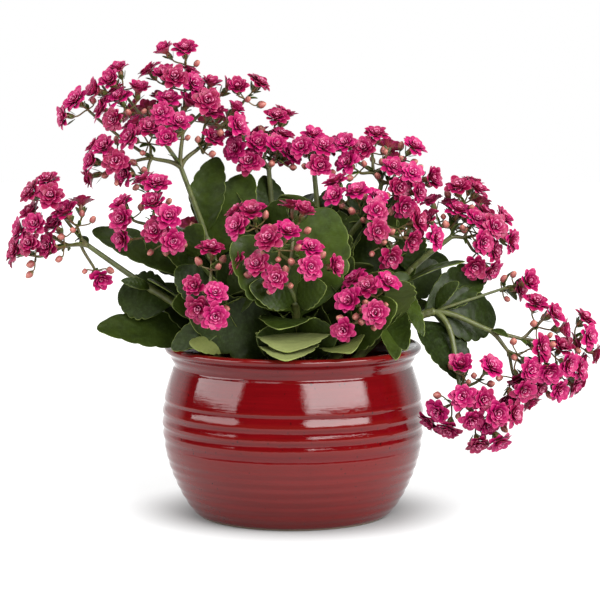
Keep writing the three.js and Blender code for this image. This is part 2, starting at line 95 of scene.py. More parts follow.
class Nodes:
    # a node tree under construction, with a few short calls

    def __init__(self, tree):
        self.nodes, self.links = tree.nodes, tree.links

    def feed(self, socket, value):
        # a number or colour is set on the socket, and another node's output is linked to it
        if isinstance(value, bpy.types.NodeSocket):
            self.links.new(value, socket)
        else:
            socket.default_value = value

    def between(self, value, low, high, lowTo=0.0, highTo=1.0):
        # value brought from low..high to lowTo..highTo, smoothly
        node = self.nodes.new("ShaderNodeMapRange")
        node.interpolation_type = "SMOOTHSTEP"
        self.links.new(value, node.inputs["Value"])
        ends = {"From Min": low, "From Max": high, "To Min": lowTo, "To Max": highTo}
        for end, number in ends.items():
            node.inputs[end].default_value = number
        return node.outputs["Result"]

    def mix(self, factor, one, other):
        node = self.nodes.new("ShaderNodeMix")
        node.data_type = "RGBA"
        for socket, value in (("Factor", factor), ("A", one), ("B", other)):
            self.feed(node.inputs[socket], value)
        return node.outputs["Result"]

    def math(self, operation, one, other):
        node = self.nodes.new("ShaderNodeMath")
        node.operation = operation
        self.feed(node.inputs[0], one)
        self.feed(node.inputs[1], other)
        return node.outputs[0]


def makeWorld(values):
    # white for whatever the camera sees, an even grey fill for matte surfaces, and for
    # reflections a dim room with a white wall behind that fades out upwards
    world = bpy.data.worlds.new("studio")
    bpy.context.scene.world = world
    world.use_nodes = True
    w = Nodes(world.node_tree)
    place = w.nodes.new("ShaderNodeTexCoord").outputs["Generated"]
    split = w.nodes.new("ShaderNodeSeparateXYZ")
    w.links.new(place, split.inputs[0])
    back = w.between(split.outputs["Y"], values["wallFrom"], values["wallTo"])
    low = w.between(split.outputs["Z"], *values["wallTop"], 1, 0)
    ray = w.nodes.new("ShaderNodeLightPath").outputs
    white, fill = (1, 1, 1, 1), (*[values["fill"]] * 3, 1)
    seen = w.mix(w.math("MULTIPLY", back, low), (*values["dimRoom"], 1), white)
    seen = w.mix(ray["Is Diffuse Ray"], seen, fill)
    seen = w.mix(ray["Is Camera Ray"], seen, white)
    w.links.new(seen, w.nodes["Background"].inputs["Color"])


for boxName, boxValues in studioValues["boxes"].items():
    makeSoftBox(boxName, *boxValues)
makeWorld(studioValues)
bpy.context.scene.view_settings.view_transform = "Standard"


# ---- meshes from arrays
def unit(vectors):
    # each vector divided by its length
    return vectors / np.maximum(np.linalg.norm(vectors, axis=-1, keepdims=True), 1e-12)


def skin(rings, firstPole, lastPole):
    # closed surfaces: rings of points, stitched to the next ring, with a fan to a point at each
    # end; rings is (count, rings, points, 3), and a ring turns anticlockwise seen from the last
    count, ringCount, around, _ = rings.shape
    perPiece = ringCount * around + 2
    points = np.concatenate(
        [rings.reshape(count, -1, 3), firstPole[:, None], lastPole[:, None]], axis=1
    )
    row, column = np.meshgrid(np.arange(ringCount - 1), np.arange(around), indexing="ij")
    after = (column + 1) % around
    low, high = row * around, (row + 1) * around
    quads = np.stack([low + column, low + after, high + after, high + column], -1).reshape(-1, 4)
    step = np.arange(around)
    next_ = (step + 1) % around
    top = (ringCount - 1) * around
    fans = np.concatenate(
        [
            np.stack([np.full(around, perPiece - 2), next_, step], -1),
            np.stack([np.full(around, perPiece - 1), top + step, top + next_], -1),
        ]
    )
    offset = (np.arange(count) * perPiece)[:, None, None]
    return {
        "points": points.reshape(-1, 3),
        "quads": (quads[None] + offset).reshape(-1, 4),
        "fans": (fans[None] + offset).reshape(-1, 3),
        "marks": {},
    }


def mark(part, **values):
    # gives every point of a part a number by name: the values of ring points, then of both poles
    for name, (onRings, first, last) in values.items():
        count = np.broadcast_to(first, np.shape(first)).size
        ends = np.stack([np.broadcast_to(first, (count,)), np.broadcast_to(last, (count,))], 1)
        part["marks"][name] = np.concatenate([onRings.reshape(count, -1), ends], 1).ravel()
    return part


def makePiece(name, parts, material, replaced, sharpAngle=None):
    # one mesh object out of several parts, with the parts' numbers as point attributes
    starts = np.cumsum([0] + [len(p["points"]) for p in parts])
    points = np.concatenate([p["points"] for p in parts]) * metre
    quads = np.concatenate([p["quads"] + s for p, s in zip(parts, starts)])
    fans = np.concatenate([p["fans"] + s for p, s in zip(parts, starts)])
    mesh = bpy.data.meshes.new(name)
    mesh.vertices.add(len(points))
    mesh.vertices.foreach_set("co", points.ravel().astype(np.float32))
    corners = np.concatenate([quads.ravel(), fans.ravel()]).astype(np.int32)
    mesh.loops.add(len(corners))
    mesh.loops.foreach_set("vertex_index", corners)
    begins = np.concatenate(
        [np.arange(len(quads)) * 4, len(quads) * 4 + np.arange(len(fans)) * 3]
    ).astype(np.int32)
    mesh.polygons.add(len(begins))
    mesh.polygons.foreach_set("loop_start", begins)
    for markName in parts[0]["marks"]:
        data = mesh.attributes.new(markName, "FLOAT", "POINT").data
        data.foreach_set(
            "value", np.concatenate([p["marks"][markName] for p in parts]).astype(np.float32)
        )
    mesh.update(calc_edges=True)
    mesh.validate()
    mesh.shade_smooth()
    if sharpAngle:
        mesh.set_sharp_from_angle(angle=float(np.radians(sharpAngle)))
    piece = bpy.data.objects.new(name, mesh)
    bpy.context.collection.objects.link(piece)
    mesh.materials.append(material)
    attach(piece, "root")
    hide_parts(*replaced)
    return piece


def squareTo(axes):
    # two unit vectors square to each axis: the first is level where it can be
    level = np.cross(axes, [0.0, 0.0, 1.0])
    flat = np.linalg.norm(level, axis=-1, keepdims=True) < 0.05
    level = np.where(flat, [1.0, 0.0, 0.0] - axes * axes[..., :1], level)
    level = unit(level)
    return level, unit(np.cross(level, axes))


def tubes(lines, radii, around, colourMark=0.0):
    # round tubes along lines of points: circles square to the line's own direction
    lines = np.asarray(lines, float)
    tangents = unit(np.gradient(lines, axis=1))
    whole = unit(lines[:, -1] - lines[:, 0])
    reference = np.where(np.abs(whole[:, 1:2]) < 0.75, [0.0, 1.0, 0.0], [1.0, 0.0, 0.0])[:, None]
    along = np.sum(reference * tangents, -1, keepdims=True)
    first = unit(reference - along * tangents)
    second = np.cross(tangents, first)
    angle = 2 * np.pi * np.arange(around) / around
    circle = (
        np.cos(angle)[:, None] * first[:, :, None] + np.sin(angle)[:, None] * second[:, :, None]
    )
    radii = np.broadcast_to(radii, lines.shape[:2])
    rings = lines[:, :, None] + radii[:, :, None, None] * circle
    shape = (len(lines), lines.shape[1], around)
    share = np.broadcast_to(np.linspace(0, 1, lines.shape[1])[None, :, None], shape)
    rosy = np.broadcast_to(np.asarray(colourMark, float).reshape(-1, 1, 1), shape)
    ends = np.zeros(len(lines))
    return mark(
        skin(rings, lines[:, 0], lines[:, -1]),
        along=(share, ends, ends + 1),
        rosy=(rosy, rosy[:, 0, 0], rosy[:, 0, 0]),
    )


def bezier(starts, startPulls, endPulls, ends, count):
    # cubic curves between two points, pulled by one more point at each end
    t = np.linspace(0, 1, count)[None, :, None]
    a, b, c, d = (np.asarray(p, float)[:, None] for p in (starts, startPulls, endPulls, ends))
    return (1 - t) ** 3 * a + 3 * t * (1 - t) ** 2 * b + 3 * t * t * (1 - t) * c + t**3 * d


def throughPoints(points, shares):
    # a smooth curve through points (centripetal Catmull-Rom), read at shares of its way
    points = np.asarray(points, float)
    padded = np.vstack([2 * points[0] - points[1], points, 2 * points[-1] - points[-2]])
    place = np.clip(np.asarray(shares, float), 0, 1) * (len(points) - 1)
    i = np.minimum(place.astype(int), len(points) - 2)
    w = (place - i)[:, None]
    p0, p1, p2, p3 = padded[i], padded[i + 1], padded[i + 2], padded[i + 3]
    d0, d1, d2 = (
        np.sqrt(np.linalg.norm(b - a, axis=1))[:, None] for a, b in ((p0, p1), (p1, p2), (p2, p3))
    )
    m1 = ((p1 - p0) / d0 - (p2 - p0) / (d0 + d1) + (p2 - p1) / d1) * d1
    m2 = ((p2 - p1) / d1 - (p3 - p1) / (d1 + d2) + (p3 - p2) / d2) * d1
    cubic, square = 2 * p1 - 2 * p2 + m1 + m2, -3 * p1 + 3 * p2 - 2 * m1 - m2
    return p1 + m1 * w + square * w**2 + cubic * w**3


# ---- materials
def screen(red, green, blue):
    # a colour as it looks on screen, 0 to 255, in the linear values that a shader takes
    c = np.array([red, green, blue]) / 255
    linear = np.where(c > 0.04045, ((c + 0.055) / 1.055) ** 2.4, c / 12.92)
    return (*[float(v) for v in linear], 1.0)


class Finish(Nodes):
    # a material under construction: its node tree and its shader

    def __init__(self, name):
        self.material = bpy.data.materials.new(name)
        self.material.use_nodes = True
        super().__init__(self.material.node_tree)
        self.shader = self.nodes["Principled BSDF"]
        self.place = self.nodes.new("ShaderNodeTexCoord").outputs["Object"]

    def attribute(self, name):
        node = self.nodes.new("ShaderNodeAttribute")
        node.attribute_name = name
        return node.outputs["Fac"]

    def noise(self, scale, detail=3.0, stretch=(1, 1, 1), roughness=0.55):
        # cloudy noise on the object's own place, scale in waves a metre
        mapping = self.nodes.new("ShaderNodeMapping")
        mapping.inputs["Scale"].default_value = stretch
        self.links.new(self.place, mapping.inputs["Vector"])
        node = self.nodes.new("ShaderNodeTexNoise")
        for socket, value in (("Scale", scale), ("Detail", detail), ("Roughness", roughness)):
            node.inputs[socket].default_value = value
        self.links.new(mapping.outputs[0], node.inputs["Vector"])
        return node.outputs["Fac"]

    def bump(self, height, strength, distance):
        node = self.nodes.new("ShaderNodeBump")
        node.inputs["Strength"].default_value = strength
        node.inputs["Distance"].default_value = distance
        self.links.new(height, node.inputs["Height"])
        self.links.new(node.outputs[0], self.shader.inputs["Normal"])

    def set(self, **sockets):
        for name, value in sockets.items():
            self.feed(self.shader.inputs[name.replace("_", " ")], value)
        return self.material


def glazeFinish():
    # deep red glossy glaze: browner and thinner on the crests of the ribs and the lip, pooled and
    # darker in the grooves, with level brush streaks, fine cloudiness and a few dark specks
    f = Finish("redGlaze")
    crest = f.attribute("crest")
    streaks = f.noise(60, 5, (0.35, 0.35, 9), 0.65)
    clouds = f.noise(34, 4)
    specks = f.noise(420, 1, (1, 1, 0.8), 0.2)
    red = f.mix(f.between(streaks, 0.25, 0.75), screen(82, 3, 6), screen(94, 4, 8))
    red = f.mix(f.between(clouds, 0.35, 0.8, 0, 0.3), red, screen(62, 3, 5))
    red = f.mix(f.between(crest, 0.4, 1.0, 0, 0.3), red, screen(104, 24, 16))
    red = f.mix(f.between(specks, 0.75, 0.79, 0, 0.7), red, screen(34, 6, 6))
    foot = f.mix(f.attribute("bare"), red, screen(150, 132, 112))
    f.bump(f.mix(0.25, f.noise(52, 3, (0.8, 0.8, 1.2)), streaks), 0.3, 0.0012)
    rough = f.between(f.attribute("bare"), 0, 1, 0.05, 0.8)
    return f.set(Base_Color=foot, Roughness=rough, IOR=1.43)


def soilFinish():
    # dark damp peat with paler fibres and grains
    f = Finish("pottingSoil")
    grains = f.noise(420, 6, (1, 1, 1), 0.7)
    clods = f.noise(90, 3)
    fibres = f.noise(260, 2, (3, 0.6, 1))
    brown = f.mix(f.between(grains, 0.35, 0.7), screen(24, 15, 9), screen(66, 46, 30))
    brown = f.mix(f.between(clods, 0.4, 0.7, 0, 0.5), brown, screen(40, 26, 15))
    brown = f.mix(f.between(fibres, 0.66, 0.74, 0, 0.8), brown, screen(128, 100, 66))
    f.bump(grains, 0.8, 0.002)
    return f.set(Base_Color=brown, Roughness=0.95)


def leafFinish():
    # fleshy green: a dark mottled face, pale rim and midrib, faint side veins, paler underneath; old leaves
    # by the rim are pale on both faces, partly as a painted sheen on the upper face
    f = Finish("leafGreen")
    tint, rim = f.attribute("tint"), f.attribute("rim")
    across, under = f.attribute("across"), f.attribute("under")
    face = f.mix(tint, screen(22, 31, 6), screen(52, 65, 18))
    face = f.mix(f.between(f.noise(90, 4), 0.35, 0.7, 0, 0.5), face, screen(16, 23, 5))
    # the pale colour of undersides, also laid on both faces of old leaves, where it is partly a painted
    # sheen
    below = f.mix(tint, screen(98, 104, 56), screen(116, 122, 76))
    green = f.mix(f.between(under, 0.1, 1.0), face, below)
    green = f.mix(f.between(across, 0.0, 0.07, 0.3, 0), green, screen(84, 100, 40))
    green = f.mix(f.between(f.attribute("vein"), 0.8, 1, 0, 0.1), green, screen(70, 92, 42))
    broken = f.between(f.noise(60, 2), 0.4, 0.6, 0.25, 0.8)
    margin = f.math("MULTIPLY", f.between(rim, 0.4, 0.95), broken)
    green = f.mix(margin, green, screen(132, 144, 74))
    green = f.mix(f.between(f.noise(500, 3), 0.45, 0.75, 0, 0.25), green, screen(62, 82, 38))
    f.bump(f.mix(0.6, f.noise(110, 3), f.attribute("vein")), 0.4, 0.0008)
    rough = f.between(f.noise(160, 2), 0.3, 0.7, 0.32, 0.5)
    return f.set(Base_Color=green, Roughness=rough, Specular_IOR_Level=0.14)


def stalkFinish():
    # olive green, flushed brown red towards the flowers, with fine lengthwise grain
    f = Finish("stalkGreen")
    rosy = f.attribute("rosy")
    green = f.mix(f.between(f.noise(220, 3), 0.3, 0.7), screen(52, 66, 26), screen(78, 92, 42))
    flush = f.mix(f.between(f.noise(300, 2), 0.3, 0.7), screen(112, 84, 50), screen(134, 76, 58))
    green = f.mix(rosy, green, flush)
    f.bump(f.noise(600, 2, (1, 1, 0.3)), 0.2, 0.0004)
    return f.set(Base_Color=green, Roughness=0.45)


def petalFinish():
    # magenta, brighter on the face, darker towards each petal's foot as painted shade deep in the floret,
    # lighter at the rim, with a painted highlight on the tips of the inmost petals, and paler salmon
    # behind, with fine veins
    f = Finish("petalPink")
    along, across = f.attribute("along"), f.attribute("across")
    tint, under = f.attribute("tint"), f.attribute("under")
    pink = f.mix(tint, screen(118, 0, 47), screen(158, 6, 84))
    # painted shade: darker towards each petal's foot, deep in the floret
    pink = f.mix(f.between(along, 0.0, 0.6, 0.8, 0), pink, screen(88, 0, 29))
    pink = f.mix(f.between(across, 0.7, 1.0, 0, 0.5), pink, screen(186, 62, 114))
    pink = f.mix(f.between(along, 0.85, 1.0, 0, 0.55), pink, screen(186, 76, 118))
    # painted highlight: pale pink on the tips of the inmost petals
    heartHighlight = f.between(f.attribute("rosy"), 0.4, 1.0)
    heartHighlight = f.math("MULTIPLY", heartHighlight, f.between(along, 0.72, 0.98))
    pink = f.mix(f.math("MULTIPLY", heartHighlight, 0.8), pink, screen(222, 142, 176))
    back = f.mix(f.between(along, 0.1, 0.9), screen(138, 64, 58), screen(138, 24, 62))
    pink = f.mix(f.between(under, 0.3, 0.9, 0, 0.85), pink, back)
    pink = f.mix(f.between(f.noise(900, 2), 0.55, 0.7, 0, 0.15), pink, screen(170, 58, 104))
    f.bump(f.noise(1100, 2, (1, 1, 0.4)), 0.3, 0.0003)
    return f.set(Base_Color=pink, Roughness=0.42, Specular_IOR_Level=0.3)


def budFinish():
    # salmon pink with a paler tip and a green foot
    f = Finish("budSalmon")
    along, tint = f.attribute("along"), f.attribute("tint")
    skinTone = f.mix(tint, screen(134, 60, 62), screen(162, 92, 84))
    skinTone = f.mix(f.between(along, 0.55, 1.0, 0, 0.6), skinTone, screen(176, 116, 98))
    skinTone = f.mix(f.between(along, 0.12, 0.42, 0.9, 0), skinTone, screen(104, 98, 52))
    skinTone = f.mix(f.between(f.noise(700, 2), 0.5, 0.75, 0, 0.3), skinTone, screen(128, 48, 56))
    f.bump(f.noise(900, 2), 0.2, 0.0003)
    return f.set(Base_Color=skinTone, Roughness=0.42)


def floorFinish():
    # pale paper that glows white like a studio sweep, with a painted soft shadow where the glow falls off
    # close to the pot, and a fine tooth
    f = Finish("paleFloor")
    away = f.nodes.new("ShaderNodeVectorMath")
    away.operation = "LENGTH"
    f.links.new(f.place, away.inputs[0])
    v = studioValues
    # the near glow weakens close to the pot, which paints a soft shadow round its foot
    shadowedNearGlow, far = (
        f.between(away.outputs["Value"], start, end, 0, strength)
        for strength, start, end in (v["glowWithPaintedShadow"], v["farGlow"])
    )
    f.feed(f.shader.inputs["Emission Strength"], f.math("ADD", shadowedNearGlow, far))
    grey = [(tone, tone, tone, 1) for tone in (v["floorTone"] * 0.98, v["floorTone"])]
    paper = f.mix(f.between(f.noise(300, 2), 0.3, 0.7), *grey)
    return f.set(Base_Color=paper, Roughness=0.9, Emission_Color=(1, 1, 1, 1))


# ---- the floor
def makeFloor(radius=4.0, around=96):
    angle = 2 * np.pi * np.arange(around) / around
    rim = np.stack([radius * np.cos(angle), radius * np.sin(angle), 0 * angle - 0.0002], -1)
    mesh = bpy.data.meshes.new("floor")
    mesh.from_pydata([tuple(p) for p in rim], [], [tuple(range(around))])
    mesh.materials.append(floorFinish())
    floor = bpy.data.objects.new("floor", mesh)
    bpy.context.collection.objects.link(floor)


makeFloor()
print("stage: camera, studio and floor")

# ---- the pot: a turned profile of height and radius, with ribs that fade towards the foot
potValues = {
    "footRadius": 71, "bellyRadius": 98, "bellyHeight": 72, "neckRadius": 88.5, "neckHeight": 114,
    "bellyCurve": 0.72,  # how full the belly is below its widest; 1 is a plain cosine quarter
    "wall": 7.4,  # with the room that the ribs take
    "floor": 8, "innerWall": (12, 104), "innerRows": 14,
    # heights of the turned ribs below the smooth shoulder: crest, groove, crest and so on down
    "ribs": (88.3, 85.6, 78.6, 75.1, 69.1, 66.0, 61.2, 54.6, 51.4, 46.4),
    "ribDepth": 0.95,
    "ribFade": (50, 7),  # they begin to sink into the wall at 57 and are gone at 50
    "glazedCrests": (88.5, 90.5),  # heights between which the thin glaze on the crests begins
    "ripplePitch": 7.2, "rippleDepth": 0.2, "rippleTop": 46.5,
    "around": 210,
    "outerWall": (109.2, 1.6), "outerRows": 330, "lipRows": 90,
    # the rolled lip and the banded neck below it, from the inside over the lip and down
    "lip": [
        (82.6, 108), (83.2, 116), (86.4, 123.2), (90.2, 126.6), (92.6, 127.8), (94.6, 127.3),
        (95.9, 125.7), (95.7, 123.9), (94.7, 122.6), (93.1, 121.3), (91.9, 119.9), (91.6, 119.0),
        (91.5, 118.2), (90.7, 116.6), (89.6, 114.9), (88.9, 113.2), (88.75, 112.4),
        (89.0, 111.6), (89.9, 110.2),
    ],
    # the rounded foot ring, from the outside in to the recess, and the inner floor above it
    "foot": [
        (71.9, 0.9), (71.6, 0.3), (70.9, 0.0), (66, 0.0), (65, 0.8), (63, 1.2), (30, 1.2),
    ],
    "well": (30, 63),
    "bareBelow": (1.5, 0.7),  # the height where the glaze ends, and where the clay is bare
}


def bellyRadius(z, v=potValues):
    # two cosine quarters: out from the foot to the belly, and in again to the neck
    low = 1 - np.minimum(z, v["bellyHeight"]) / v["bellyHeight"]
    swell = np.cos(np.clip(low, 0, 1) * np.pi / 2) ** v["bellyCurve"]
    rise = v["neckHeight"] - v["bellyHeight"]
    high = (np.maximum(z, v["bellyHeight"]) - v["bellyHeight"]) / rise
    draw = np.cos(np.clip(high, 0, 1) * np.pi / 2)
    below = v["footRadius"] + (v["bellyRadius"] - v["footRadius"]) * swell
    above = v["neckRadius"] + (v["bellyRadius"] - v["neckRadius"]) * draw
    return np.where(z < v["bellyHeight"], below, above)


def ribs(z, v=potValues):
    # a cosine wave through the listed crests and grooves, cut into the wall, that fades out
    # upwards into the shoulder and downwards into a row of shallow ripples
    heights = np.array(v["ribs"])
    phase = np.interp(-z, -heights, np.arange(len(heights)))
    fade = np.clip((z - v["ribFade"][0]) / v["ribFade"][1], 0, 1)
    upper = v["ribDepth"] * fade * (np.cos(np.pi * phase) - 1) / 2
    top = v["rippleTop"]
    strength = np.clip((top + 2 - z) / 6, 0, 1) * np.clip(z / 5, 0, 1)
    return upper + v["rippleDepth"] * strength * np.sin(2 * np.pi * (top - z) / v["ripplePitch"])


def makePot(v=potValues):
    # the profile carried round the axis: rings from the middle of the inner floor, up the inside,
    # over the lip, down the ribbed outside and under the foot to the middle again
    lip = np.array(v["lip"], float)
    t = np.linspace(0, 1, v["lipRows"])
    smoothLip = throughPoints(np.column_stack([lip, 0 * lip[:, :1]]), t)[:, :2]
    outZ = np.linspace(*v["outerWall"], v["outerRows"])
    outside = np.column_stack([bellyRadius(outZ) + ribs(outZ), outZ])
    inZ = np.linspace(*v["innerWall"], v["innerRows"])
    inside = np.column_stack([bellyRadius(inZ) - v["wall"], inZ])
    foot = np.array(v["foot"])
    well = np.array([(radius, v["floor"]) for radius in v["well"]], float)
    profile = np.concatenate([foot[::-1], outside[::-1], smoothLip[::-1], inside[::-1], well[::-1]])
    angle = 2 * np.pi * np.arange(v["around"]) / v["around"]
    r, z = profile[:, 0], profile[:, 1]
    x, y = r[:, None] * np.cos(angle), r[:, None] * np.sin(angle)
    rings = np.stack([x, y, np.broadcast_to(z[:, None], x.shape)], -1)[None]
    part = skin(rings, np.array([[0, 0, foot[-1, 1]]]), np.array([[0, 0, float(v["floor"])]]))
    crest = np.zeros_like(z)
    wall = outZ[::-1]
    full, none = v["glazedCrests"]
    thin = np.clip((none - wall) / (none - full), 0, 1)
    crest[len(foot):len(foot) + len(wall)] = (1 + ribs(wall) / v["ribDepth"]) * thin
    crest[(z > 124) & (r > 91)] = 0.8  # and on the top of the lip
    glazed, clay = v["bareBelow"]
    bare = np.clip((glazed - z) / (glazed - clay), 0, 1)
    spread = lambda values: np.broadcast_to(values[:, None], rings.shape[1:3])[None]
    mark(part, crest=(spread(crest), [0.0], [0.0]), bare=(spread(bare), [1.0], [0.0]))
    makePiece("pot_glazed", [part], glazeFinish(), ["pot"])


makePot()
print("pot: turned")

# ---- the soil: a low mound with clods
soilValues = {
    "radius": 81.6, "top": 108, "crown": 3.0, "bottom": 9, "clods": 4.8, "clodSizes": (3, 22),
    "waves": 60, "seed": 5, "rings": 44, "around": 110,
}


def waves(x, y, seed, count, shortest, longest):
    # cloudy relief: a sum of sine waves of random heading, length and phase
    draw = np.random.default_rng(seed)
    length = np.exp(draw.uniform(np.log(shortest), np.log(longest), count))
    heading, phase = draw.uniform(0, 2 * np.pi, (2, count))
    k = 2 * np.pi / length
    angle = x[..., None] * k * np.cos(heading) + y[..., None] * k * np.sin(heading) + phase
    return np.sum(np.sin(angle) * length, -1) / np.sum(length)


def makeSoil(v=soilValues):
    # rings from the middle of the underside out, round the edge and in over the clods to the top
    angle = 2 * np.pi * np.arange(v["around"]) / v["around"]
    r = np.concatenate([[30, 60, 78], np.linspace(v["radius"], 2, v["rings"])])
    mound = v["top"] - 1 + v["crown"] * (1 - (r[3:] / v["radius"]) ** 2)
    level = np.concatenate([[v["bottom"], v["bottom"], 60], mound])
    x, y = r[:, None] * np.cos(angle), r[:, None] * np.sin(angle)
    rough = waves(x, y, v["seed"], v["waves"], *v["clodSizes"]) * v["clods"]
    rough[:4] = 0
    rings = np.stack([x, y, level[:, None] + rough], -1)[None]
    middles = np.array([[0.0, 0, v["bottom"]]]), np.array([[0.0, 0, v["top"] + v["crown"]]])
    part = skin(rings, *middles)
    makePiece("soil_mound", [part], soilFinish(), ["soil"])


makeSoil()
print("soil: heaped")

# ---- leafy stems: foot in the soil, points up to the neck, and leaves as
# (share of the way up the stem, x, y, z of the tip, width, roll)
# a roll of more than 120 degrees, such as 360, marks an old leaf, pale on both faces, partly with a painted
# sheen
stems = {
    "stem_upper_left": {
        "path": ((-38, 6), (-46, 7, 150), (-65, 8, 208)),
        "leaves": (
            (0.98, -57, 22, 266, 28, 14), (0.82, -32, 14, 254, 38, 58), (0.7, -100, 26, 204, 32, -60),
            (0.4, -84, 46, 168, 42, -30),
        ),
    },
    "stem_far_left": {
        "path": ((-52, -8), (-68, -11, 142), (-90, -15, 161), (-110, -18, 174)), "bare": 0.35,
        "leaves": (
            (0.14, -145, -22, 142, 36, -42), (0.62, -130, -6, 166, 40, -60), (0.9, -126, -30, 178, 9, -70),
        ),
    },
    "stem_left": {
        "path": ((-28, -14), (-48, -18, 150), (-83, -22, 201)), "bare": 0.5,
        "leaves": (
            (0.76, -149, -4, 213, 26, -52), (0.94, -66, -40, 220, 22, 116), (0.5, -88, -48, 162, 32, -64),
            (0.84, -93, -36, 200, 26, -60), (0.25, -76, -30, 176, 44, -66),
        ),
    },
    "stem_front_left": {
        "path": ((-20, -36), (-34, -46, 138), (-61, -62, 168)),
        "leaves": (
            (0.2, -50, -22, 196, 50, -20), (0.7, -88, -58, 131, 22, -52), (0.84, -84, -50, 190, 30, -54),
            (0.5, -74, -80, 138, 16, 124),
        ),
    },
    "stem_front": {
        "path": ((0, -34), (2, -48, 138), (2, -68, 168)),
        "leaves": (
            (0.97, -31, -90, 180, 24, -76), (0.97, 24, -90, 180, 24, 84), (0.82, -43, -78, 211, 52, -78),
            (0.7, 26, -50, 233, 56, 68), (0.55, -4, -98, 134, 54, 360), (0.3, -5, -106, 129, 44, 360),
            (0.3, -76, -58, 161, 44, -88), (0.4, -26, -80, 144, 32, -104), (0.72, -10, -96, 150, 42, 0),
            (0.44, 32, -80, 145, 32, 100), (0.25, -18, -14, 198, 48, 0),
        ),
    },
    "stem_top_left": {
        "path": ((-4, 16), (-10, 17, 165), (-16, 18, 230)),
        "leaves": (
            (0.84, -22, 24, 252, 26, -20), (0.62, -40, 12, 226, 40, -60), (0.7, -4, -8, 236, 32, 110),
            (0.6, -24, 62, 200, 40, 0),
        ),
    },
    "stem_top_centre": {
        "path": ((12, 12), (15, 13, 165), (18, 14, 230)),
        "leaves": (
            (0.86, 36, 20, 246, 26, 10), (0.5, 44, -4, 204, 38, 40), (0.66, 26, 58, 206, 38, 0),
        ),
    },
    "stem_top_right": {
        "path": ((34, 12), (44, 13, 160), (60, 12, 218)),
        "leaves": (
            (0.88, 42, 26, 246, 28, 0), (0.88, 92, 20, 232, 32, 40), (0.6, 66, 60, 192, 38, 0),
        ),
    },
    "stem_centre_right": {
        "path": ((22, -14), (30, -18, 155), (42, -25, 211)),
        "leaves": (
            (0.8, 72, -26, 203, 36, 54), (0.9, 34, -14, 228, 18, 0), (0.86, 46, -14, 226, 16, 30),
            (0.5, 44, -44, 196, 40, 96),
        ),
    },
    "stem_right": {
        "path": ((46, 2), (60, 0, 145), (90, -5, 186)), "bare": 0.5,
        "leaves": (
            (0.92, 92, 14, 210, 26, 0), (0.75, 126, -32, 192, 15, 20), (0.7, 112, 34, 182, 28, 84),
            (0.4, 92, 4, 194, 34, 44), (0.6, 74, -66, 124, 19, -14), (0.66, 82, -58, 130, 21, 24),
            (0.85, 95, -44, 138, 12, 10),
        ),
    },
    "stem_far_right": {
        "path": ((42, -22), (66, -26, 138), (86, -29, 149), (105, -32, 156)), "bare": 0.35,
        "leaves": (
            (0.8, 144, 2, 184, 29, 60), (0.9, 151, -10, 148, 42, 70), (0.7, 124, -46, 106, 40, 24),
            (0.2, 84, -12, 182, 36, 80), (0.98, 121, -40, 178, 13, 66),
        ),
    },
    "stem_front_right": {
        "path": ((24, -32), (36, -46, 130), (60, -66, 151)),
        "leaves": (
            (0.5, 74, -84, 167, 38, 84), (0.45, 41, -102, 134, 34, 378), (0.2, 60, -40, 182, 36, 76),
        ),
    },
    "stem_back_left": {
        "path": ((-30, 34), (-40, 46, 140), (-60, 70, 176)),
        "leaves": (
            (0.84, -24, 78, 194, 36, 0), (0.86, -114, 62, 184, 42, -30), (0.6, -62, 112, 140, 44, 0),
            (0.5, -100, 72, 144, 42, -20),
        ),
    },
    "stem_back": {
        "path": ((3, 42), (4, 58, 140), (4, 84, 170)),
        "leaves": (
            (0.94, 42, 96, 192, 34, 0), (0.92, -34, 98, 190, 34, 0), (0.6, -10, 116, 136, 46, 0),
            (0.5, 42, 100, 142, 42, 0),
        ),
    },
    "stem_back_right": {
        "path": ((34, 34), (44, 46, 140), (66, 68, 176)),
        "leaves": (
            (0.84, 30, 78, 194, 34, 0), (0.86, 120, 56, 184, 42, 30), (0.6, 84, 104, 142, 44, 0),
            (0.5, 104, 66, 142, 42, 20),
        ),
    },
}

leafValues = {
    "stations": 60, "around": 22, "bow": 0.08, "thickness": 1.7, "rimWidth": 0.75,
    "petiole": 0.12, "petioleEnd": 0.08,  # half width there, as a share of the blade's
    "lobes": 6.5, "lobeDepth": 0.1,
    "lift": (0.02, 0.26), "wave": (0.02, 0.05), "waves": (1.6, 2.6),  # of the edges
    "sway": 0.03,  # of the blade's middle line to either side, as a share of its length
    "veins": 8, "underneath": 0.35,  # how pale the underside of a young leaf is
    "oldAndSheenRoll": 120,  # a roll beyond this marks an old leaf by the rim, pale on both faces: partly its own paler tone, partly a painted sheen of the bright backdrop on its upper face
}


